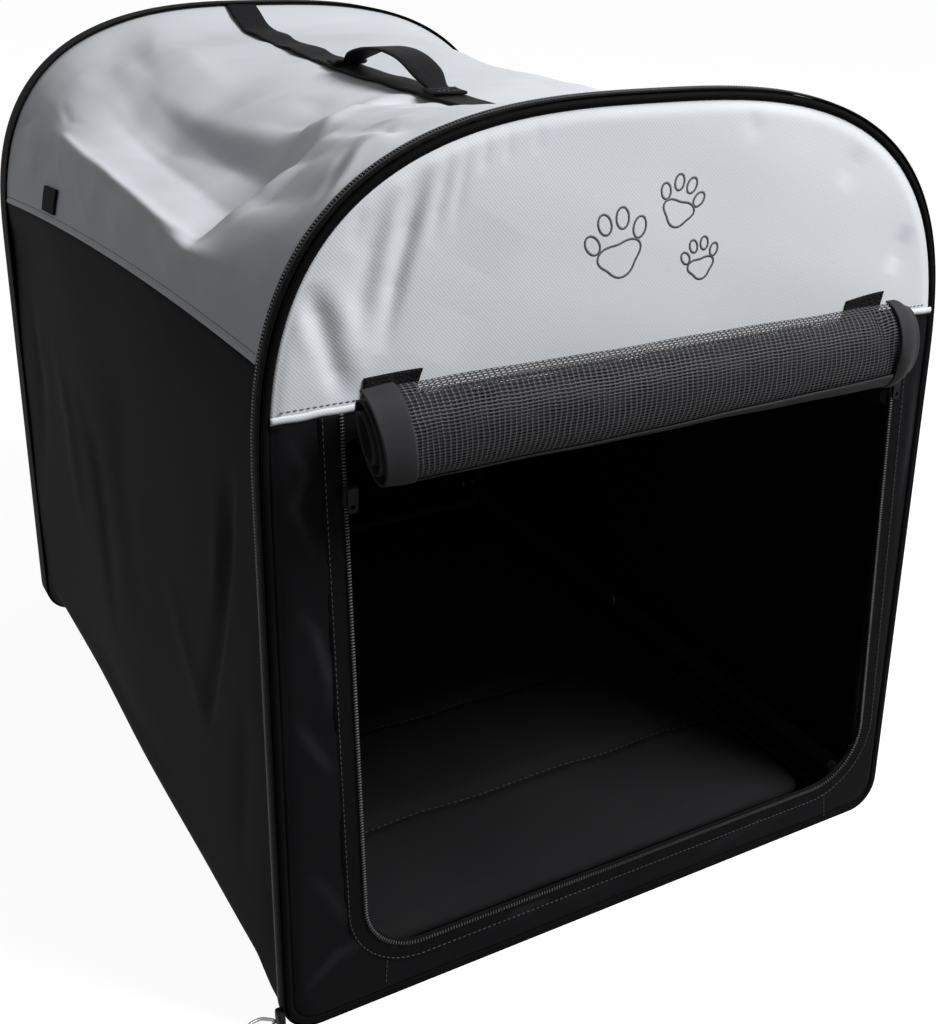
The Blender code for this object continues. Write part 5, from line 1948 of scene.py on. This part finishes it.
@dataclass
class HoldingTabs:
    """Two hook-and-loop tabs that hold the roll.

    Attributes:
        corners: each tab's foot from left to right and its top from left to right, on the front panel in mm.
        curl: how far its free right corner lifts.
        proud: how far it stands off the panel.
        thick: thickness of a tab.
    """

    corners: tuple[tuple[str, tuple[Place2, ...]], ...] = (
        ("left", ((-176, 380), (-147, 380), (-174, 397.2), (-142.5, 398.6))),
        ("right", ((145, 380), (176, 380), (149, 397.0), (177, 400.6))),
    )
    curl: float = 0.0024
    proud: float = 0.0014
    thick: float = 0.0011

    def tab(self, word: str, places: tuple[Place2, ...]) -> Piece:
        """One tab between its four corners."""
        foot_left, foot_right, top_left, top_right = np.array(places) * MM

        def place(u: Array, v: Array) -> Laid:
            foot = foot_left + (foot_right - foot_left) * u[:, None]
            top = top_left + (top_right - top_left) * u[:, None]
            flat = foot + (top - foot) * v[:, None]
            return end_points(flat, self.proud + self.curl * u**4 * v**2, -1), flat

        return Sheet(f"{word}_roll_tab", 24, 16, place, (0, -1, 0), self.thick).build(HOOKS)

    def build(self) -> list[Piece]:
        """Builds the tabs on the front frame."""
        made = []
        for word, places in self.corners:
            tab = self.tab(word, places)
            mounted([tab], Body.FRONT)
            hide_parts(f"{word}_tab")
            made.append(tab)
        return made


# Floor and frame

@dataclass
class CabinFloor:
    """Floor cloth and the padded mat in the cabin.

    Attributes:
        mat_x: half width of the mat.
        mat_y: half length of the mat.
        mat_corner: radius of its corners.
        mat_low: height of its underside.
        mat_thick: thickness before it swells.
        swell: how far a point may move as the mat fills.
        channels: y of the sewn channels.
        sway: how far a channel wanders.
        cord: radius of the corded edge.
    """

    mat_x: float = 0.197
    mat_y: float = 0.280
    mat_corner: float = 0.020
    mat_low: float = 0.0030
    mat_thick: float = 0.0080
    swell: float = 0.005
    channels: tuple[float, ...] = (-0.168, -0.056, 0.056, 0.168)
    sway: float = 0.0012
    cord: float = 0.0022

    def floor_cloth(self) -> Piece:
        """Cloth under the cabin, drawn in between the hoops."""
        def place(u: Array, v: Array) -> Laid:
            y = SHEET_END * (2 * v - 1)
            flat = columns((HALF_W - corner_radius(y) - GAP) * (2 * u - 1), y)
            return columns(flat, 0.0002), flat

        cloth = Sheet("cabin_floor_cloth", 60, 100, place, (0, 0, -1), 0.0016).build(BLACK_WALL)
        folding([cloth])
        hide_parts("floor_sheet")
        return cloth

    def outline(self, grow: float) -> Array:
        """Outline of the mat, grown by a distance."""
        x, y = self.mat_x + grow, self.mat_y + grow
        corners = ((-x, -y), (x, -y), (x, y), (-x, y))
        return np.array(rounded_corners(corners, (self.mat_corner + grow,) * 4, 8))

    def channel(self, y: float, x: Array) -> Array:
        """y of the channel near y, at places x."""
        return y + self.sway * np.sin(x * 60)

    def filled(self, pad: Piece) -> None:
        """Swells the mat as cloth under pressure, each point by at most swell."""
        before = vertex_places(pad.data)
        cloth = pad.modifiers.new("Cloth", "CLOTH")
        cloth.settings.quality = 4
        cloth.settings.use_pressure = True
        cloth.settings.uniform_pressure_force = 4.0
        cloth.settings.effector_weights.gravity = 0.0
        scene = bpy.context.scene
        for step in range(1, 21):
            scene.frame_set(step)
        settle(pad)
        scene.frame_set(1)
        moved = vertex_places(pad.data) - before
        far = np.linalg.norm(moved, axis=1, keepdims=True)
        move_vertices(pad.data, before + moved * np.minimum(1.0, self.swell / np.maximum(far, 1e-9)))

    def mat(self) -> Piece:
        """Padded mat: swollen cloth with sewn channels across."""
        bm = bmesh.new()
        foot = bm.faces.new([bm.verts.new((x, y, self.mat_low)) for x, y in self.outline(-0.002)])
        raised = bmesh.ops.extrude_face_region(bm, geom=[foot])["geom"]
        top = [part for part in raised if isinstance(part, bmesh.types.BMVert)]
        bmesh.ops.translate(bm, verts=top, vec=(0, 0, self.mat_thick))
        bmesh.ops.recalc_face_normals(bm, faces=bm.faces)
        pad = new_object("cabin_mat", bm, SHADE_DARKENED_MAT)
        voxels = pad.modifiers.new("Voxels", "REMESH")
        voxels.mode = "VOXEL"
        voxels.voxel_size = 0.005
        settle(pad)
        self.filled(pad)
        finer = pad.modifiers.new("Finer", "SUBSURF")
        finer.levels = finer.render_levels = 1
        settle(pad)
        self.quilt(pad)
        return pad

    def quilt(self, pad: Piece) -> None:
        """Draws the mat in along its channels and gives it places on the flat cloth."""
        mesh = pad.data
        points = vertex_places(mesh)
        height = np.clip((points[:, 2] - self.mat_low) / self.mat_thick, 0.0, 1.0)
        pull = sum(bump(points[:, 1], self.channel(y, points[:, 0]), 0.007) for y in self.channels)
        inner = eased(self.mat_x - np.abs(points[:, 0]), 0.0, 0.02)
        points[:, 2] -= 0.0045 * pull * height * inner
        points[:, 2] += 0.0006 * uneven(points[:, :2], 0.09, 41) * height
        points[:, 2] = np.maximum(points[:, 2], 0.0022)
        move_vertices(mesh, points)
        lay_flat(mesh, mesh.uv_layers.new(name=CLOTH_UV), points[:, :2])
        mesh.shade_smooth()

    def edge_cord(self) -> Piece:
        """Corded edge round the mat."""
        track = Track(self.outline(0.0015), closed=True)
        where = track.even(RING_STEPS)
        flat, side = track.at(where), track.side(where)
        path = columns(flat, self.mat_low + self.mat_thick / 2)
        outward = columns(side, 0)
        profile = round_profile(self.cord, 8)
        return swept("mat_edge_cord", path, outward, every(UP, RING_STEPS), profile, SHADE_DARKENED_MAT, closed=True)

    def channel_stitches(self, pad: Piece) -> list[Piece]:
        """Stitches in the bottom of each channel."""
        bpy.context.view_layer.update()
        count, margin, above = 150, 0.012, 0.1
        x = np.linspace(-self.mat_x + margin, self.mat_x - margin, count)
        rows = []
        for number, y in enumerate(self.channels, 1):
            path = []
            for place in zip(x, self.channel(y, x)):
                hit, point, _, _ = pad.ray_cast(Vector((*place, above)), Vector((0.0, 0.0, -1.0)))
                path.append(point if hit else (*place, self.mat_low + self.mat_thick))
            name = f"mat_channel_{number}_stitches"
            rows.append(stitches(name, np.array(path), every(UP, count), THREAD_BLACK, 0.0035, 0.0015))
        return rows

    def build(self) -> list[Piece]:
        """Builds the floor and the mat."""
        pad = self.mat()
        made = [pad, self.edge_cord(), *self.channel_stitches(pad)]
        folding(made)
        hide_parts("floor_mat")
        return [self.floor_cloth(), *made]


@dataclass
class RimPull:
    """Wire loop that pulls the slider of the edge zip.

    Attributes:
        middle: centre of the loop.
        long: half length across the body.
        short: half width.
        wire: radius of the wire.
        squeeze: how much narrower the loop is at its slider's end, as a share.
    """

    middle: Place3 = (-0.2445, -0.3015, 0.012)
    long: float = 0.0083
    short: float = 0.0055
    wire: float = 0.0010
    squeeze: float = 0.35

    def build(self) -> list[Piece]:
        """Builds the loop."""
        count = 64
        angle = np.linspace(0, 2 * math.pi, count, endpoint=False)
        outward = columns(np.cos(angle), np.sin(angle), 0)
        path = np.array(self.middle) + outward * (self.long, self.short, 0)
        path[:, 1] -= outward[:, 1] * self.short * self.squeeze * eased(outward[:, 0], 0.2, 1.0)
        profile = round_profile(self.wire, 10)
        loop = swept("rim_pull_loop", path, outward, every(UP, count), profile, PULL_WIRE, closed=True)
        mounted([loop], Body.RIM_PULL)
        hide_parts("rim_zip_pull")
        return [loop]


class SteelFrame:
    """Finishes of the CAD pieces that keep their shapes, by the end of each piece's name."""

    finishes = {"tube": PAINTED_STEEL, "bar": PAINTED_STEEL, "rail": PAINTED_STEEL, "rivet": DULL_RIVET,
                "elbow": BLACK_PLASTIC, "zip_pull": DARK_ZIP_METAL, "zip_slider": DARK_ZIP_METAL}

    def build(self) -> list[Piece]:
        """Gives each carried-over CAD piece its material."""
        made = []
        for name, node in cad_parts.items():
            for ending, finish in self.finishes.items():
                if name.endswith(ending):
                    node.data.materials.clear()
                    node.data.materials.append(finish.material)
                    made.append(node)
        return made

# Studio

@dataclass
class Studio:
    """Pale floor, soft light and the photograph's camera.

    Attributes:
        eye: place of the camera.
        azimuth: how far the view is turned from straight ahead, in radians.
        elevation: how far it looks down, in radians.
        roll: how far the camera leans, in radians.
        lens: focal length in mm on a sensor 36 mm wide.
        shift: shift of the picture.
        key_place: place of the lamp.
        key_power: power of the lamp in watts.
        key_size: width of the lamp.
        ambient: strength of the light from all round.
    """

    eye: Place3 = (-0.4454, -0.9190, 0.6308)
    azimuth: float = -0.5577
    elevation: float = 0.3592
    roll: float = 0.0305
    lens: float = 49.32
    shift: Place2 = (-0.0800, -0.0961)
    key_place: Place3 = (0.80, -1.10, 1.76)
    key_power: float = 63.0
    key_size: float = 0.8
    ambient: float = 0.22

    def camera(self) -> None:
        """Camera at the photograph's viewing angle."""
        data = bpy.data.cameras.new("Photograph view")
        data.lens = self.lens
        data.sensor_width = 36.0
        data.shift_x, data.shift_y = self.shift
        a, e = self.azimuth, self.elevation
        back = Vector((math.sin(a) * math.cos(e), -math.cos(a) * math.cos(e), math.sin(e)))
        right = Vector((math.cos(a), math.sin(a), 0.0))
        up = back.cross(right)
        x = right * math.cos(self.roll) + up * math.sin(self.roll)
        y = up * math.cos(self.roll) - right * math.sin(self.roll)
        camera = bpy.data.objects.new("Photograph view", data)
        turn = Matrix((x, y, back)).transposed().to_4x4()
        camera.matrix_world = Matrix.Translation(Vector(self.eye)) @ turn
        bpy.context.scene.collection.objects.link(camera)
        bpy.context.scene.camera = camera

    def lights(self) -> None:
        """One broad lamp at the front right; the world fills the shadows."""
        data = bpy.data.lights.new("Key", "AREA")
        data.shape = "DISK"
        data.energy = self.key_power
        data.size = self.key_size
        lamp = bpy.data.objects.new("Key", data)
        lamp.location = self.key_place
        aim = Vector(self.key_place) - Vector((0.0, 0.0, HEIGHT / 2))
        lamp.rotation_euler = aim.to_track_quat("Z", "Y").to_euler()
        bpy.context.scene.collection.objects.link(lamp)
        world = bpy.data.worlds.new("Studio")
        world.use_nodes = True
        world.node_tree.nodes.clear()
        nodes = Nodes(world.node_tree)
        strength = nodes.spread(seen_rays(nodes), 0.0, 1.0, self.ambient, 1.0)
        sky = nodes.add("ShaderNodeBackground", {"Color": WHITE, "Strength": strength})
        out = nodes.add("ShaderNodeOutputWorld")
        nodes.tree.links.new(sky.outputs[0], out.inputs["Surface"])
        bpy.context.scene.world = world
        bpy.context.scene.view_settings.view_transform = "Standard"

    def floor(self) -> None:
        """Pale floor that keeps the shadow."""
        bm = bmesh.new()
        bmesh.ops.create_grid(bm, x_segments=1, y_segments=1, size=12.0)
        plane = new_object("Studio floor", bm, PALE_FLOOR, smooth=False)
        for vert in plane.data.vertices:
            vert.co.z = -0.0008

    def build(self) -> None:
        """Sets up the studio."""
        self.camera()
        self.lights()
        self.floor()


def main() -> None:
    """Builds the carrier's pieces in order."""
    logging.basicConfig(level=logging.INFO, format="%(message)s")
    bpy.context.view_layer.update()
    Studio().build()
    front, roof = EndPanel(-1), Roof()
    rear = EndPanel(1, folds=REAR_FOLDS, lower_folds=(), seed=13)
    assemblies = (front, PawPrint(front), FrontRim(), rear, RearRim(), Flank(-1), Flank(1), roof,
                  RoofWebbing(roof), DoorZip(), RolledDoor(), HoldingTabs(), RimPull(), CabinFloor(),
                  SteelFrame())
    for assembly in assemblies:
        for piece in assembly.build():
            log.info("%s: %s, %d faces", type(assembly).__name__, piece.name, len(piece.data.polygons))


if __name__ == "__main__":
    main()
